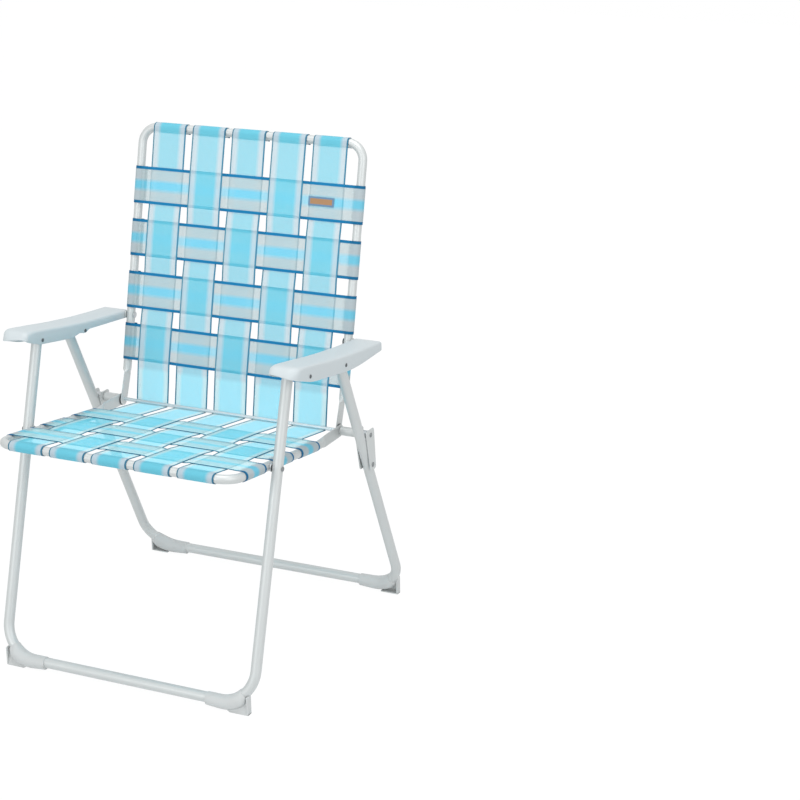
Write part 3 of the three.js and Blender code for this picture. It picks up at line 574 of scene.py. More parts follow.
def legTube(leg):
    points, directions = bentPath(legCorners(leg))
    outline = circle(legSizes["radius"], legSizes["sides"])
    outer = ringsAlong((points, directions), acrossChair, lambda i: outline)
    bore = (legSizes["radius"] - legSizes["wall"]) / legSizes["radius"]
    ends = []
    for end, depth in ((0, legSizes["openDepth"]), (-1, -legSizes["openDepth"])):
        lip = points[end] + (outer[end] - points[end]) * bore
        ends.append([lip, lip + directions[end] * depth])
    return loft([ends[0][1], ends[0][0], *outer, ends[1][0], ends[1][1]])


for name, leg in legs.items():
    node = f"{name}_leg_frame"
    makePiece(f"{name}LegTube", [legTube(leg)], "tube", leg["body"], [node])
print("leg tubes made")

# Seat and back frames
railSizes = {
    "radius": 8,
    "bendRadius": 32,
    "tailBendRadius": 60,
    "bendSteps": 16,
    "tailBendSteps": 5,
    "sides": 40,
    "flatHalf": 1.2,
    "tailHalfWidth": 11.7,
    "edgeShare": 0.6,
    "pressStart": 1,
    "pressStations": 10,
    "tipSteps": 9,
    "tipAngle": 84,
    "leastTip": 0.5,
}
seatSlope, seatTailSlope = 8.07, 0.54
backRecline, backTailRecline = 13.24, 20.3
seatBack = sideDirection(-seatSlope)
seatUp = turnLeft(seatBack)
backUp = sideDirection(90 - backRecline)
backFront = turnLeft(backUp)
backTailUp = sideDirection(90 - backTailRecline)
seatTailBack = sideDirection(-seatTailSlope)
rails = {
    "seat": {"along": seatBack, "normal": seatUp, "length": 321, "halfWidth": 232.8,
             "tailAlong": seatTailBack, "tailLength": 85.5, "press": 24, "tailX": 233.8},
    "back": {"along": -backUp, "normal": backFront, "length": 461.5, "halfWidth": 231.5,
             "tailAlong": -backTailUp, "tailLength": 61.8, "press": 12, "tailX": 229.8},
}
for rail in rails.values():
    rail["tailStart"] = hinge - rail["tailAlong"] * rail["tailLength"]
    rail["bar"] = rail["tailStart"] - rail["along"] * rail["length"]


def railTube(rail):
    sizes = railSizes
    bendReach = sizes["tailBendRadius"] * math.tan(math.acos(rail["along"] @ rail["tailAlong"]) / 2)
    pressing = np.linspace(bendReach + sizes["pressStart"], rail["press"], sizes["pressStations"])
    tipAngles = np.linspace(0, math.radians(sizes["tipAngle"]), sizes["tipSteps"] + 1)
    stations = [*pressing, *(rail["tailLength"] + sizes["tailHalfWidth"] * np.sin(tipAngles))]
    tail = [rail["tailStart"] + rail["tailAlong"] * d for d in stations]
    half = rail["halfWidth"]
    points, directions = bentPath([
        *[(at(-half, p), 0, 0) for p in reversed(tail)],
        (at(-half, rail["tailStart"]), sizes["tailBendRadius"], sizes["tailBendSteps"]),
        (at(-half, rail["bar"]), sizes["bendRadius"], sizes["bendSteps"]),
        (at(half, rail["bar"]), sizes["bendRadius"], sizes["bendSteps"]),
        (at(half, rail["tailStart"]), sizes["tailBendRadius"], sizes["tailBendSteps"]),
        *[(at(half, p), 0, 0) for p in tail],
    ])
    down = (points[:, 1:] - rail["tailStart"]) @ rail["tailAlong"]
    pressed = smooth((down - bendReach) / (rail["press"] - bendReach))
    points[:, 0] += np.sign(points[:, 0]) * pressed * (rail["tailX"] - half)
    beyond = np.clip(down - rail["tailLength"], 0, None)
    widths = np.sqrt(np.clip(sizes["tailHalfWidth"] ** 2 - beyond ** 2, sizes["leastTip"], None))
    unitCircle = circle(1, sizes["sides"])
    flatX = sizes["flatHalf"] * np.clip(unitCircle[:, 0] / sizes["edgeShare"], -1, 1)

    def section(i):
        share = pressed[i]
        acrossX = sizes["radius"] * unitCircle[:, 0] * (1 - share) + flatX * share
        acrossPlane = unitCircle[:, 1] * (sizes["radius"] * (1 - share) + widths[i] * share)
        return np.column_stack([acrossX, acrossPlane])

    return loft(ringsAlong((points, directions), acrossChair, section))


for name, rail in rails.items():
    makePiece(f"{name}Tube", [railTube(rail)], "tube", name, [f"{name}_frame"], sharpAngle=50)
print("seat and back tubes made")

# Straps
strapSizes = {
    "width": 70,
    "thickness": 1.0,
    "offBar": 8.8,
    "offRod": 4.3,
    "rise": 0.65,
    "margin": 1.5,
    "edgeShare": 0.7,
    "tail": 10,
    "wrapSteps": 18,
    "leaving": (2.5, 5, 8, 12),
    "crossingPoints": 18,
    "easeSteps": 8,
    "openStep": 8,
    "rodSteps": 10,
    "columns": 10,
}
maskSizes = {
    "rollStart": 1,
    "rollReach": 13.5,
    "crossingInset": 1,
    "crossingFade": 3,
    "lyingAboveBar": 12,
    "lyingFade": 6,
}
strapRows = {
    "long": {"pitch": 84.3, "count": 5},
    "seat": {"first": 71.8, "pitch": 100.7, "count": 3},
    "back": {"first": 110.6, "pitch": 99.9, "count": 4},
}
longMiddle = (strapRows["long"]["count"] - 1) / 2
longPlaces = [(i - longMiddle) * strapRows["long"]["pitch"] for i in range(strapRows["long"]["count"])]
crossPlaces = {}
for name in rails:
    row = strapRows[name]
    crossPlaces[name] = [row["first"] + i * row["pitch"] for i in range(row["count"])]


def isOver(column, row):
    return (column + row) % 2 == 0


def weaveLine(places, overFlags):
    # (distance, height) through the crossings, with eased turns between them
    reach = strapSizes["width"] / 2 + strapSizes["margin"]
    rise = strapSizes["rise"]
    heights = [strapSizes["offBar"] + (rise if over else -rise) for over in overFlags]
    line = []
    for i, (place, height) in enumerate(zip(places, heights)):
        if i:
            last, lastHeight = places[i - 1] + reach, heights[i - 1]
            for share in np.linspace(0, 1, strapSizes["easeSteps"] + 1)[1:-1]:
                distance = last + (place - reach - last) * share
                line.append((distance, lastHeight + (height - lastHeight) * smooth(share)))
        for distance in np.linspace(place - reach, place + reach, strapSizes["crossingPoints"]):
            line.append((distance, height))
    return line


def wrapLine():
    # Round the bar at distance zero, from the tail behind it to the top and a little way on
    off = strapSizes["offBar"]
    line = [(strapSizes["tail"], -off), (strapSizes["tail"] / 2, -off)]
    for angle in np.linspace(-math.pi / 2, -3 * math.pi / 2, strapSizes["wrapSteps"] + 1):
        line.append((off * math.cos(angle), off * math.sin(angle)))
    return line + [(distance, off) for distance in strapSizes["leaving"]]


def between(start, end):
    count = max(2, int(np.linalg.norm(end - start) / strapSizes["openStep"]))
    return [start + (end - start) * share for share in np.linspace(0, 1, count + 1)[1:-1]]


def ribbonPart(centres, normals, across, width):
    # A flat strap on a line of centres: across is the direction of its width
    half = strapSizes["thickness"] / 2
    shares = np.linspace(-0.5, 0.5, strapSizes["columns"] + 1)
    rises = np.where(abs(shares) < 0.5, half, half * strapSizes["edgeShare"])
    lengths = np.concatenate([[0], np.cumsum(np.linalg.norm(np.diff(centres, axis=0), axis=1))])
    rings, uvs = [], []
    for centre, normal, distance in zip(centres, normals, lengths):
        top = [centre + across * width * share + normal * rise for share, rise in zip(shares, rises)]
        bottom = [centre + across * width * share - normal * rise for share, rise in zip(shares, rises)]
        rings.append(np.array(top + bottom[::-1]))
        row = [(share + 0.5, distance / 1000) for share in shares]
        uvs += row + row[::-1]
    return loft(rings), uvs, lengths[-1]


def lineNormals(centres, across):
    tangents = np.gradient(centres, axis=0)
    normals = np.cross(across, tangents)
    return normals / np.linalg.norm(normals, axis=1)[:, None]


def nearest(centres, places):
    # Distance from each centre to the nearest of the places
    return np.min([np.linalg.norm(centres - place, axis=1) for place in places], axis=0)


def rollMask(centres, bars):
    # 1 where a strap lies round a bar, falling to 0 on the open run; there the strap is made opaque and
    # darkened with a painted shade tint
    start = strapSizes["offBar"] + maskSizes["rollStart"]
    return 1 - smooth((nearest(centres, bars) - start) / (maskSizes["rollReach"] - start))


def crossingMask(centres, crossings):
    # 1 where two straps lie on each other; there the strap's colour is brightened as painted light
    start = strapSizes["width"] / 2 - maskSizes["crossingInset"]
    return 1 - smooth((nearest(centres, crossings) - start) / maskSizes["crossingFade"])


def lyingMask(centres):
    # 1 where a strap lies on the seat, falling to 0 above the seat's front bar; it picks the strap's brighter
    # seat colours, which are painted light
    start = rails["seat"]["bar"][1] + maskSizes["lyingAboveBar"]
    return 1 - smooth((centres[:, 2] - start) / maskSizes["lyingFade"])


def makeStrap(name, centres, across, material, bars, crossings, replaced, body):
    centres = np.array(centres)
    part, uvs, length = ribbonPart(centres, lineNormals(centres, across), across, strapSizes["width"])
    ringSize = 2 * (strapSizes["columns"] + 1)
    roll = rollMask(centres, bars)
    lying = (1 - roll) * lyingMask(centres)
    masks = {"roll": roll, "lying": lying, "crossing": crossingMask(centres, crossings) * (1 - lying)}
    masks = {mask: np.repeat(shares, ringSize) for mask, shares in masks.items()}
    strap = makePiece(name, [part], material, body, replaced, uv=("strap", uvs), masks=masks)
    return strap


def railPoint(rail, distance, height=0):
    # A place past the frame's bar, along its rails, and above the middle of the tubes
    return rail["bar"] + rail["along"] * distance + rail["normal"] * height


def longCentreline(column):
    runs = {}
    for name, rail in rails.items():
        overFlags = [not isOver(column, row) for row in range(len(crossPlaces[name]))]
        line = wrapLine() + weaveLine(crossPlaces[name], overFlags)
        runs[name] = [railPoint(rail, distance, height) for distance, height in line]
    seat, back = runs["seat"], runs["back"][::-1]
    angles = np.linspace(-90 - seatSlope, -backRecline, strapSizes["rodSteps"] + 1)
    rod = [hinge + sideDirection(angle) * strapSizes["offRod"] for angle in angles]
    line = seat + between(seat[-1], rod[0]) + rod + between(rod[-1], back[0]) + back
    return [at(longPlaces[column], point) for point in line]


for column, x in enumerate(longPlaces):
    bars = [at(x, rail["bar"]) for rail in rails.values()]
    crossings = [at(x, railPoint(rail, place, strapSizes["offBar"]))
                 for name, rail in rails.items() for place in crossPlaces[name]]
    nodes = [f"seat_long_strap_{column + 1}", f"back_long_strap_{column + 1}"]
    strap = makeStrap(f"longStrap{column + 1}", longCentreline(column), acrossChair, "longStrap", bars,
                      crossings, nodes, None)
    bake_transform(strap)
print("long straps made")

for name, rail in rails.items():
    half = rail["halfWidth"]
    across = at(0, -rail["along"])
    left = [(x - half, height) for x, height in wrapLine()]
    right = [(half - x, height) for x, height in wrapLine()][::-1]
    for row, place in enumerate(crossPlaces[name]):
        overFlags = [isOver(column, row) for column in range(len(longPlaces))]
        line = left + weaveLine(longPlaces, overFlags) + right
        centres = [at(x, railPoint(rail, place, height)) for x, height in line]
        bars = [at(x, railPoint(rail, place)) for x in (-half, half)]
        crossings = [at(x, railPoint(rail, place, strapSizes["offBar"])) for x in longPlaces]
        makeStrap(f"{name}CrossStrap{row + 1}", centres, across, "crossStrap", bars, crossings,
                  [f"{name}_cross_strap_{row + 1}"], name)
print("cross straps made")


# Turned pieces: rivets, bolts, washers and spacers, on an axis across the chair
def turnedRings(profile, centre, sides=36, least=0.02):
    # A profile of (x, radius) pairs, turned about the axis; a pole keeps the least radius
    angles = np.linspace(0, 2 * math.pi, sides, endpoint=False)
    rings = []
    for x, radius in profile:
        radius = max(radius, least)
        rings.append(np.column_stack([np.full(sides, x), centre[0] + radius * np.cos(angles),
                                      centre[1] + radius * np.sin(angles)]))
    return rings


def domedRivet(centre, low, high, heads, headHeight=1.6, shank=2.5, steps=6):
    angles = np.linspace(0, math.pi / 2, steps + 1)
    profile = []
    if heads[0]:
        profile += [(low + headHeight * (1 - math.cos(a)), heads[0] * math.sin(a)) for a in angles]
        profile += [(low + headHeight, shank)]
    else:
        profile += [(low, 0), (low, shank)]
    if heads[1]:
        profile += [(high - headHeight, shank)]
        profile += [(high - headHeight * (1 - math.cos(a)), heads[1] * math.sin(a)) for a in angles[::-1]]
    else:
        profile += [(high, shank), (high, 0)]
    return loft(turnedRings(profile, centre))


def ringPart(centre, low, high, outer, bore, bevel=0.3):
    profile = [(low, bore), (low, outer - bevel), (low + bevel, outer),
               (high - bevel, outer), (high, outer - bevel), (high, bore)]
    rings = turnedRings(profile, centre)
    points, faces = loft(rings + [rings[0]], closedEnds=False)
    count = len(rings[0])
    last = len(rings) * count
    return points[:last], [[i - last if i >= last else i for i in face] for face in faces]


turnedPieces = {
    "link_lower_rivet": {"centre": linkPivot, "body": "rear_legs", "material": "rivet", "heads": (4.5, 4.5)},
    "seat_rivet": {"centre": seatPivot, "body": "front_legs", "material": "rivet", "heads": (4.5, 4.5)},
    "seat_washer": {"centre": seatPivot, "body": "front_legs", "material": "steel", "ring": (7.5, 2.8)},
    "arm_front_bolt": {"centre": armFrontPivot, "body": "armrests", "material": "darkSteel",
                       "heads": (3.5, 3.5)},
    "arm_rear_bolt": {"centre": armRearPivot, "body": "armrests", "material": "darkSteel",
                      "heads": (3.5, 3.5)},
    "arm_front_spacer": {"centre": armFrontPivot, "body": "armrests", "material": "foot", "ring": (5, 2.8)},
    "arm_rear_spacer": {"centre": armRearPivot, "body": "armrests", "material": "foot", "ring": (5, 2.8)},
    "back_rivet": {"centre": armBackPivot, "body": "armrests", "material": "steel", "heads": (6.5, 4.5)},
    "back_washer": {"centre": armBackPivot, "body": "armrests", "material": "foot", "ring": (7.5, 2.8)},
    "hinge_washer": {"centre": hinge, "body": "seat", "material": "darkSteel", "ring": (12.5, 3.6)},
    "hinge_spacer": {"centre": hinge, "body": "seat", "material": "tube", "ring": (8.3, 3.6)},
    "link_spacer": {"centre": hinge, "body": "links", "material": "steel", "ring": (7.5, 2.8)},
    "link_upper_bolt": {"centre": hinge, "body": "links", "material": "rivet", "heads": (0, 4.5)},
}
for node, sizes in turnedPieces.items():
    low, high = (corner.x * 1000 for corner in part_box(f"{node}_right"))
    if "heads" in sizes:
        part = domedRivet(sizes["centre"], low, high, sizes["heads"])
    else:
        part = ringPart(sizes["centre"], low, high, *sizes["ring"])
    makePair(node, [part], sizes["material"], sizes["body"])

rodSizes = {"radius": 3.5, "bevel": 0.5}
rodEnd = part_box("hinge_rod")[1].x * 1000
rodHalf = [(rodEnd - rodSizes["bevel"], rodSizes["radius"]), (rodEnd, rodSizes["radius"] - rodSizes["bevel"]),
           (rodEnd, 0)]
rodProfile = [(-x, radius) for x, radius in rodHalf[::-1]] + rodHalf
makePiece("hingeRod", [loft(turnedRings(rodProfile, hinge))], "rod", "seat", ["hinge_rod"])
print("rivets, bolts, washers and spacers made")


# Flat plates across the chair
def roundedOutline(corners, radius, steps=8):
    outline = []
    count = len(corners)
    for i, corner in enumerate(corners):
        inward = unit(corner - corners[i - 1])
        outward = unit(corners[(i + 1) % count] - corner)
        turn = math.acos(np.clip(inward @ outward, -1, 1))
        reach = radius * math.tan(turn / 2)
        start, end = corner - inward * reach, corner + outward * reach
        for share in np.linspace(0, 1, steps + 1):
            outline.append((1 - share) ** 2 * start + 2 * share * (1 - share) * corner + share ** 2 * end)
    return np.array(outline)


def signedArea(outline):
    after = np.roll(outline, -1, axis=0)
    return np.sum(outline[:, 0] * after[:, 1] - after[:, 0] * outline[:, 1]) / 2


def insetOutline(outline, inset):
    tangent = np.roll(outline, -1, axis=0) - np.roll(outline, 1, axis=0)
    tangent /= np.linalg.norm(tangent, axis=1)[:, None]
    inward = np.column_stack([-tangent[:, 1], tangent[:, 0]]) * math.copysign(1, signedArea(outline))
    return outline + inward * inset


def platePart(outline, low, high, bevel=0.4):
    if signedArea(outline) < 0:
        outline = outline[::-1]
    inner = insetOutline(outline, bevel)
    rings = [(low, inner), (low + bevel, outline), (high - bevel, outline), (high, inner)]
    return loft([np.column_stack([np.full(len(o), x), o]) for x, o in rings])


linkSizes = {
    "topFront": (18.5, 13.4),
    "topRear": (15.7, 9.1),
    "bottomFront": (9.8, 9.9),
    "bottomRear": (12.5, 12.6),
    "cornerRadius": 7,
}
linkDown = unit(linkPivot - hinge)
linkRear = turnLeft(linkDown)
linkCorners = [
    hinge - linkRear * linkSizes["topFront"][0] - linkDown * linkSizes["topFront"][1],
    linkPivot - linkRear * linkSizes["bottomFront"][0] + linkDown * linkSizes["bottomFront"][1],
    linkPivot + linkRear * linkSizes["bottomRear"][0] + linkDown * linkSizes["bottomRear"][1],
    hinge + linkRear * linkSizes["topRear"][0] - linkDown * linkSizes["topRear"][1],
]
linkOutline = roundedOutline(linkCorners, linkSizes["cornerRadius"])
for layer in ("inner", "outer"):
    low, high = (corner.x * 1000 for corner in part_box(f"link_{layer}_plate_right"))
    makePair(f"link_{layer}_plate", [platePart(linkOutline, low, high)], "tube", "links")
print("links made")

# Feet
footSizes = {
    "boreGap": 0.1,
    "thinWall": 0.9,
    "sleeveLength": 26,
    "sleeveStations": (-18, -9, 0),
    "bendStations": 14,
    "wrapAngle": 47,
    "plateThickness": 3,
    "plateInset": 5.5,
    "plateHeight": 35,
    "plateHalfDepth": 6.8,
    "plateRoundShare": 0.3,
    "plateBevel": 0.6,
    "webHalf": 1.6,
    "webSteps": 9,
    "webStart": 6,
    "soleStart": 20,
    "soleHalfDepth": 5.5,
    "soleThickness": 2,
    "soleBevel": 0.2,
    "rim": 0.8,
    "sides": 40,
}
# Wall on the outside of the bend, as (distance past the start of the bend, thickness)
footWalls = [(-26, 3.5), (0, 5.3), (12.7, 6.5), (25.4, 7.2), (38.1, 7.2), (43, 5.8), (47, 3.8), (50.9, 1.5)]


def footSleeve(leg):
    foot, up, bend = leg["foot"], leg["up"], legSizes["bendRadius"]
    start = leg["halfWidth"] - bend
    end = math.radians(footSizes["wrapAngle"]) * bend
    normal = np.array([0.0, -up[1], up[0]])
    outline = circle(1, footSizes["sides"])
    inner = legSizes["radius"] + footSizes["boreGap"]

    def ring(distance, drop=0.0, bore=False):
        # thick on the outside of the bend and thin on the inside; a rim is rounded off by its drop
        angle = max(distance, 0) / bend
        x = start + min(distance, 0) + bend * math.sin(angle)
        centre = at(x, foot + up * bend * (1 - math.cos(angle)))
        outward = np.cross(at(math.cos(angle), up * math.sin(angle)), normal)
        wall = np.interp(distance, *np.array(footWalls).T)
        share = (1 + outline[:, 1]) / 2
        radius = inner + footSizes["thinWall"] * (1 - share) + wall * share - drop
        radius = np.full(len(outline), inner) if bore else np.maximum(radius, inner)
        return centre + (outline[:, :1] * normal + outline[:, 1:] * outward) * radius[:, None]

    rim, first = footSizes["rim"], -footSizes["sleeveLength"]
    stations = [first + rim, *footSizes["sleeveStations"]]
    stations += list(np.linspace(0, end - rim, footSizes["bendStations"])[1:])
    rings = [ring(first, bore=True), ring(first, rim), *map(ring, stations)]
    rings += [ring(end, rim), ring(end, bore=True)]
    return loft(rings, closedEnds=False)


def footParts(leg):
    foot, up, half = leg["foot"], leg["up"], leg["halfWidth"]
    bend = legSizes["bendRadius"]
    start = half - bend
    plateX = half - footSizes["plateInset"]
    plateMiddle = plateX - footSizes["plateThickness"] / 2

    low, high = foot[0] - footSizes["plateHalfDepth"], foot[0] + footSizes["plateHalfDepth"]
    height = footSizes["plateHeight"]
    corners = [side(high, 0), side(high, height), side(low, height), side(low, 0)]
    outline = roundedOutline(corners, footSizes["plateHalfDepth"] * footSizes["plateRoundShare"])
    plate = platePart(outline, plateX - footSizes["plateThickness"], plateX, footSizes["plateBevel"])

    below = foot[1] / up[1]
    plateTop = (height - foot[1]) / up[1]
    web = [(start + footSizes["webStart"], -legSizes["radius"]), (start + footSizes["soleStart"], -below),
           (plateMiddle, -below), (plateMiddle, plateTop)]
    topAngle = math.acos(1 - plateTop / bend)
    for angle in np.linspace(topAngle, 0, footSizes["webSteps"] + 1):
        web.append((start + bend * math.sin(angle), bend * (1 - math.cos(angle))))
    web = np.array(web)
    middle = at(0, foot) + np.outer(web[:, 0], acrossChair) + np.outer(web[:, 1], at(0, up))
    across = at(0, side(up[1], -up[0])) * footSizes["webHalf"]
    webPart = loft([middle + across, middle - across])

    low, high = foot[0] - footSizes["soleHalfDepth"], foot[0] + footSizes["soleHalfDepth"]
    thick = footSizes["soleThickness"]
    soleOutline = np.array([(low, 0), (high, 0), (high, thick), (low, thick)], float)
    sole = platePart(soleOutline, start + footSizes["soleStart"], plateX, footSizes["soleBevel"])
    parts = [footSleeve(leg), plate, webPart, sole]
    for points, faces in parts:
        points[:, 2] = np.maximum(points[:, 2], 0)  # nothing reaches below the ground
    return parts


for name, leg in legs.items():
    makePair(f"{name}_foot", footParts(leg), "foot", leg["body"], sharpAngle=35)
print("feet made")

# Armrests
armSizes = {
    "inside": 242.0,
    "outside": 296.8,
    "wall": 2.2,
    "roof": 2.6,
    "noseReach": 57,
    "noseLean": 10,
    "leanReach": 40,
    "tailReach": 7.6,
    "noseInnerRound": 12,
    "noseOuterRound": 20,
    "tailRound": 5,
    "leastRound": 0.8,
    "edgeRound": 4.5,
    "noseEdgeRound": 10,
    "crown": 1.2,
    "crownDrop": 0.2,
    "crownInsets": (23, 18, 13),
    "lip": ((0, 0.8), (0.25, 0.25), (0.8, 0)),
    "innerLip": 0.4,
    "roofCorner": 3,
    "roofInset": 22,
    "stations": 160,
    "sideSteps": 30,
    "endSteps": 4,
    "cornerSteps": 10,
    "edgeSteps": 8,
}
armAlong = unit(armBackPivot - armFrontPivot)
armUp = turnLeft(armAlong)
armLength = np.linalg.norm(armBackPivot - armFrontPivot)
rearBolt = armRearPivot - armFrontPivot
rearDistance = rearBolt @ armAlong
armEnd = armLength + armSizes["tailReach"]
# Heights of the top and of both lower edges, as (distance behind the front bolt, height)
armTopKnots = [(-armSizes["noseReach"], 20.2), (-40, 21), (-15, 20.3), (0, 19.2), (30, 17.1), (76, 13.4),
               (118, 11), (140, 9.9), (198, 8.2), (armEnd, 7.6)]
armOuterKnots = [(-armSizes["noseReach"], 3.5), (-25, -3.7), (0, -9.6), (69, -15.2), (104, -17.6),
                 (rearDistance, -19.8), (157, -20.3), (184, -19.6), (211, -17.6), (246, -13.8),
                 (armEnd, -8.9)]
armInnerKnots = [(-armSizes["noseReach"], 8.5), (-39, 1.2), (-3, -7.4), (68, -12.4), (103, -13.4),
                 (118, -8.6), (rearDistance - 11, -11), (rearDistance + 5, -11),
                 (rearDistance + 11, -6.8), (armEnd, -7.6)]


def easedHeights(knots, places):
    # A smooth curve through (distance, height) knots
    d, h = np.array(knots, float).T
    slope = np.gradient(h, d)
    i = np.clip(np.searchsorted(d, places) - 1, 0, len(d) - 2)
    width = d[i + 1] - d[i]
    t = (places - d[i]) / width
    return (h[i] * (1 + 2 * t) * (1 - t) ** 2 + slope[i] * width * t * (1 - t) ** 2
            + h[i + 1] * t ** 2 * (3 - 2 * t) + slope[i + 1] * width * t ** 2 * (t - 1))


armPlaces = np.linspace(-armSizes["noseReach"], armEnd, armSizes["stations"])


def armSideLine(heights):
    return armFrontPivot + armPlaces[:, None] * armAlong + heights[:, None] * armUp


armTop = armSideLine(easedHeights(armTopKnots, armPlaces))
armOuterLow = armSideLine(easedHeights(armOuterKnots, armPlaces))
armInnerLow = armSideLine(np.interp(armPlaces, *np.array(armInnerKnots).T))


def armPlan(inset):
    # The outline seen from above, drawn in by the inset, from the nose's inner corner round
    sizes = armSizes
    x0, x1 = sizes["inside"] + inset, sizes["outside"] - inset
    y0, y1 = armOuterLow[0][0] + inset, armTop[-1][0] - inset
    innerNose, outerNose, tail = (max(sizes[key] - inset, sizes["leastRound"])
                                  for key in ("noseInnerRound", "noseOuterRound", "tailRound"))
    outline = []

    def arc(x, y, radius, start):
        for angle in np.radians(np.linspace(start, start + 90, sizes["cornerSteps"] + 1)):
            outline.append((x + radius * math.cos(angle), y + radius * math.sin(angle)))

    def straight(start, end, count):
        for share in np.linspace(0, 1, count + 1)[1:-1]:
            outline.append(tuple(a + (b - a) * share for a, b in zip(start, end)))

    arc(x0 + innerNose, y0 + innerNose, innerNose, 180)
    straight((x0 + innerNose, y0), (x1 - outerNose, y0), sizes["endSteps"])
    arc(x1 - outerNose, y0 + outerNose, outerNose, 270)
    straight((x1, y0 + outerNose), (x1, y1 - tail), sizes["sideSteps"])
    arc(x1 - tail, y1 - tail, tail, 0)
    straight((x1 - tail, y1), (x0 + tail, y1), sizes["endSteps"])
    arc(x0 + tail, y1 - tail, tail, 90)
    straight((x0, y1 - tail), (x0, y0 + innerNose), sizes["sideSteps"])
    return np.array(outline)


def armRing(inset, isTop, offset):
    # The outline at the height of the top or of the lower edges, moved up by the offset
    plan = armPlan(inset)
    top, outer, inner = (np.interp(plan[:, 1], line[:, 0], line[:, 1])
                         for line in (armTop, armOuterLow, armInnerLow))
    across = smooth((plan[:, 0] - armSizes["inside"]) / (armSizes["outside"] - armSizes["inside"]))
    heights = (top if isTop else inner * (1 - across) + outer * across) + offset
    # the nose leans back from its lower edge
    tip = armOuterLow[0]
    lift = np.clip((heights - tip[1]) / (armTop[0][1] - tip[1]), 0, 1)
    near = np.clip(1 - (plan[:, 1] - tip[0]) / armSizes["leanReach"], 0, 1)
    plan[:, 1] += armSizes["noseLean"] * lift * near
    return np.column_stack([plan, heights])


def armPart():
    sizes = armSizes
    halfWidth = (sizes["outside"] - sizes["inside"]) / 2
    drop = sizes["crown"] * sizes["crownDrop"]
    rings = []
    for inset in sizes["crownInsets"]:
        rise = sizes["crown"] * (1 - ((halfWidth - inset) / halfWidth) ** 2)
        rings.append(armRing(inset, True, rise - drop))
    for angle in np.radians(np.linspace(90, 0, sizes["edgeSteps"] + 1)):
        # the edge is rounder at the nose
        sharp, soft = (armRing(radius * (1 - math.cos(angle)), True, -radius * (1 - math.sin(angle)) - drop)
                       for radius in (sizes["edgeRound"], sizes["noseEdgeRound"]))
        near = smooth(1 - (sharp[:, 1:2] - armOuterLow[0][0]) / sizes["leanReach"])
        rings.append(sharp * (1 - near) + soft * near)
    rings += [armRing(inset, False, offset) for inset, offset in sizes["lip"]]
    wall, roof, corner = sizes["wall"], -sizes["roof"], sizes["roofCorner"]
    rings.append(armRing(wall - sizes["innerLip"], False, 0))
    rings.append(armRing(wall, False, sizes["innerLip"]))
    rings.append(armRing(wall, True, roof - corner))
    rings.append(armRing(wall + corner, True, roof))
    rings.append(armRing(sizes["roofInset"], True, roof))
    count = len(rings[0])
    points, faces = loft(rings, closedEnds=False)
    # both flat middles are filled across the armrest, from one long side to the other
    noseCount = 2 * (sizes["cornerSteps"] + 1) + sizes["endSteps"] - 1
    for start, order in ((0, 1), ((len(rings) - 1) * count, -1)):
        for face in capFaces(count, noseCount):
            faces.append([start + i for i in face][::order])
    return points, [face[::-1] for face in faces]


def capFaces(count, noseCount):
    # Pairs of points that mirror each other across the long axis, joined in quads
    half = noseCount / 2 - 0.5
    pairs = []
    for step in range(count // 2):
        right = int(math.ceil(half + step)) % count
        left = int(math.floor(half - step)) % count
        pairs.append((left, right))
    faces = []
    for (a, b), (c, d) in zip(pairs, pairs[1:]):
        corners = [a, b, d, c]
        kept = [p for i, p in enumerate(corners) if p not in corners[:i]]
        if len(kept) > 2:
            faces.append(kept[::-1])
    return faces


makePair("armrest", [armPart()], "arm", "armrests", sharpAngle=45)
print("armrests made")

# Label
tagSizes = {
    "centre": 159.6,
    "width": 52,
    "height": 17,
    "low": 10.25,
    "thickness": 0.5,
    "corner": 1.5,
    "cornerSteps": 4,
}


def makeTag():
    half, tall = tagSizes["width"] / 2, tagSizes["height"] / 2
    corners = [side(-half, -tall), side(half, -tall), side(half, tall), side(-half, tall)]
    flat = roundedOutline(corners, tagSizes["corner"], tagSizes["cornerSteps"])
    top = crossPlaces["back"][0]
    rings, uvs = [], []
    for height in (tagSizes["low"], tagSizes["low"] + tagSizes["thickness"]):
        rings.append(np.array([at(tagSizes["centre"] + x, railPoint(rails["back"], top - y, height))
                               for x, y in flat]))
        uvs += [(x / tagSizes["width"] + 0.5, y / tagSizes["height"] + 0.5) for x, y in flat]
    makePiece("label", [loft(rings)], "tag", "back", ["tag"], uv=("label", uvs))


makeTag()
print("label made")

# Rivets that hold the straps' ends behind the tubes
rivetSizes = {
    "headDiameter": 6.5,
    "headHeight": 1.0,
    "segments": 16,
    "rings": 8,
    "spread": 20,
    "beyondBar": 4,
}


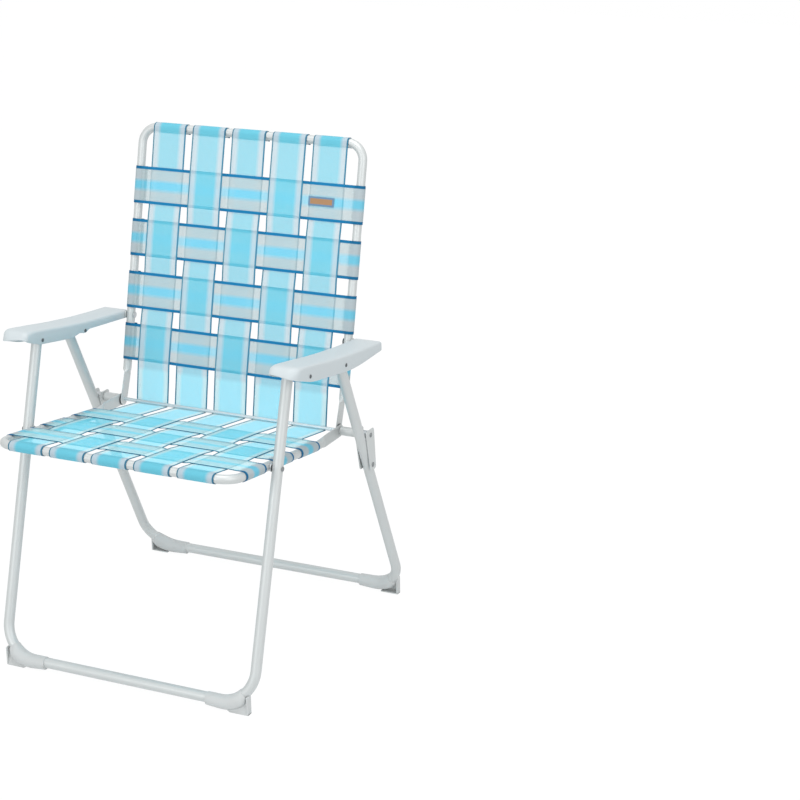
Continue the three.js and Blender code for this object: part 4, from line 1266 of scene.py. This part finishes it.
def rivetTree():
    # A flattened ball at each point, turned to its "facing"
    tree, nodes, links, enter, leave = startGroup(
        "strapRivets", "GeometryNodeTree",
        {"Geometry": ("Geometry", None), "Head Diameter": ("Float", None), "Head Height": ("Float", None),
         "Finish": ("Material", None)},
        {"Geometry": ("Geometry", None)})
    ball = addNode(nodes, "GeometryNodeMeshUVSphere",
                   {"Segments": rivetSizes["segments"], "Rings": rivetSizes["rings"], "Radius": 0.5})
    sizes = nodes.new("ShaderNodeCombineXYZ")
    doubled = addNode(nodes, "ShaderNodeMath", {1: 2}, operation="MULTIPLY")
    shaped = nodes.new("GeometryNodeTransform")
    facing = addNode(nodes, "GeometryNodeInputNamedAttribute", {"Name": "facing"}, data_type="FLOAT_VECTOR")
    turned = addNode(nodes, "FunctionNodeAlignRotationToVector", axis="Z")
    spread = nodes.new("GeometryNodeInstanceOnPoints")
    real = nodes.new("GeometryNodeRealizeInstances")
    finish = nodes.new("GeometryNodeSetMaterial")
    connect(
        links,
        (enter, "Head Diameter", sizes, "X"),
        (enter, "Head Diameter", sizes, "Y"),
        (enter, "Head Height", doubled, 0),
        (doubled, 0, sizes, "Z"),
        (ball, "Mesh", shaped, "Geometry"),
        (sizes, 0, shaped, "Scale"),
        (enter, "Geometry", spread, "Points"),
        (shaped, 0, spread, "Instance"),
        (facing, "Attribute", turned, "Vector"),
        (turned, "Rotation", spread, "Rotation"),
        (spread, 0, real, "Geometry"),
        (real, 0, finish, "Geometry"),
        (enter, "Finish", finish, "Material"),
        (finish, 0, leave, 0),
    )
    return tree


def rivetPlaces(name):
    # Two at each strap's end, on the far side of the tube from the straps
    rail = rails[name]
    height = -strapSizes["offBar"] - strapSizes["thickness"] / 2
    edge = rail["halfWidth"] - rivetSizes["beyondBar"]
    offsets = (-rivetSizes["spread"], rivetSizes["spread"])
    places = [at(x + offset, railPoint(rail, rivetSizes["beyondBar"], height))
              for x in longPlaces for offset in offsets]
    places += [at(x, railPoint(rail, place + offset, height))
               for place in crossPlaces[name] for offset in offsets for x in (-edge, edge)]
    return np.array(places), at(0, -rail["normal"])


rivetNodes = rivetTree()
rivetInputs = {}
for item in rivetNodes.interface.items_tree:
    if item.in_out == "INPUT":
        rivetInputs[item.name] = item.identifier
for name in rails:
    places, facing = rivetPlaces(name)
    mesh = bpy.data.meshes.new(f"{name}RivetPlaces")
    mesh.from_pydata((places / 1000).tolist(), [], [])
    facings = mesh.attributes.new("facing", "FLOAT_VECTOR", "POINT")
    facings.data.foreach_set("vector", np.tile(facing, len(places)))
    source = addObject(f"{name}RivetPlaces", mesh)
    modifier = source.modifiers.new("rivets", "NODES")
    modifier.node_group = rivetNodes
    modifier[rivetInputs["Head Diameter"]] = rivetSizes["headDiameter"] / 1000
    modifier[rivetInputs["Head Height"]] = rivetSizes["headHeight"] / 1000
    modifier[rivetInputs["Finish"]] = materials["steel"]
    bpy.context.view_layer.update()
    evaluated = source.evaluated_get(bpy.context.evaluated_depsgraph_get())
    rivetMesh = bpy.data.meshes.new_from_object(evaluated)
    rivets = addObject(f"{name}StrapRivets", rivetMesh)
    source.modifiers.remove(modifier)
    bpy.data.objects.remove(source)
    rivetMesh.polygons.foreach_set("use_smooth", [True] * len(rivetMesh.polygons))
    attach(rivets, name)
print("strap rivets made")

# Stage and light
stageSizes = {
    "floorSize": 16,
    "floorColor": "F4F6F7",
    "floorRoughness": 0.9,
    "whiteShare": 0.93,
    "glow": 1.03,
    "worldLight": 0.68,
}


def makeStage():
    half = stageSizes["floorSize"] / 2
    mesh = bpy.data.meshes.new("floor")
    corners = [(-half, -half, 0), (half, -half, 0), (half, half, 0), (-half, half, 0)]
    mesh.from_pydata(corners, [], [(0, 1, 2, 3)])
    floor = addObject("floor", mesh)
    material, nodes, links, shader = startMaterial(
        "whiteFloor", stageSizes["floorColor"], stageSizes["floorRoughness"])
    glow = addNode(nodes, "ShaderNodeEmission", {"Strength": stageSizes["glow"]})
    rays = nodes.new("ShaderNodeLightPath")
    seen = addNode(nodes, "ShaderNodeMath", operation="MAXIMUM")
    share = addNode(nodes, "ShaderNodeMath", {1: stageSizes["whiteShare"]}, operation="MULTIPLY")
    mix = nodes.new("ShaderNodeMixShader")
    connect(
        links,
        (rays, "Is Camera Ray", seen, 0),
        (rays, "Is Glossy Ray", seen, 1),
        (seen, 0, share, 0),
        (share, 0, mix, 0),
        (shader, 0, mix, 1),
        (glow, 0, mix, 2),
        (mix, 0, nodes["Material Output"], "Surface"),
    )
    mesh.materials.append(material)


def makeWorld():
    world = bpy.data.worlds.new("studio")
    bpy.context.scene.world = world
    world.use_nodes = True
    nodes, links = world.node_tree.nodes, world.node_tree.links
    background = nodes["Background"]
    background.inputs["Color"].default_value = (1, 1, 1, 1)
    rays = nodes.new("ShaderNodeLightPath")
    seen = addNode(nodes, "ShaderNodeMath", operation="MAXIMUM")
    through = addNode(nodes, "ShaderNodeMath", operation="MAXIMUM")
    strength = addNode(nodes, "ShaderNodeMapRange", {"To Min": stageSizes["worldLight"], "To Max": 1})
    connect(
        links,
        (rays, "Is Camera Ray", seen, 0),
        (rays, "Is Glossy Ray", seen, 1),
        (seen, 0, through, 0),
        (rays, "Is Transmission Ray", through, 1),
        (through, 0, strength, "Value"),
        (strength, 0, background, "Strength"),
    )


lamps = {
    "key": {"place": (-0.8, -3.6, 1.5), "size": 1.2, "power": 28},
    "fill": {"place": (3.0, -1.6, 1.8), "size": 1.4, "power": 27},
    "top": {"place": (0.2, -0.4, 3.2), "size": 2.0, "power": 42},
}
lampAim = Vector((0, 0, 0.45))


def makeLamps():
    for name, sizes in lamps.items():
        data = bpy.data.lights.new(name, "AREA")
        data.size = sizes["size"]
        data.energy = sizes["power"]
        lamp = addObject(name, data)
        lamp.location = sizes["place"]
        aim = lampAim - lamp.location
        lamp.rotation_euler = aim.to_track_quat("-Z", "Y").to_euler()


makeStage()
makeWorld()
makeLamps()
bpy.context.scene.view_settings.view_transform = "Standard"
print("stage and lamps made")
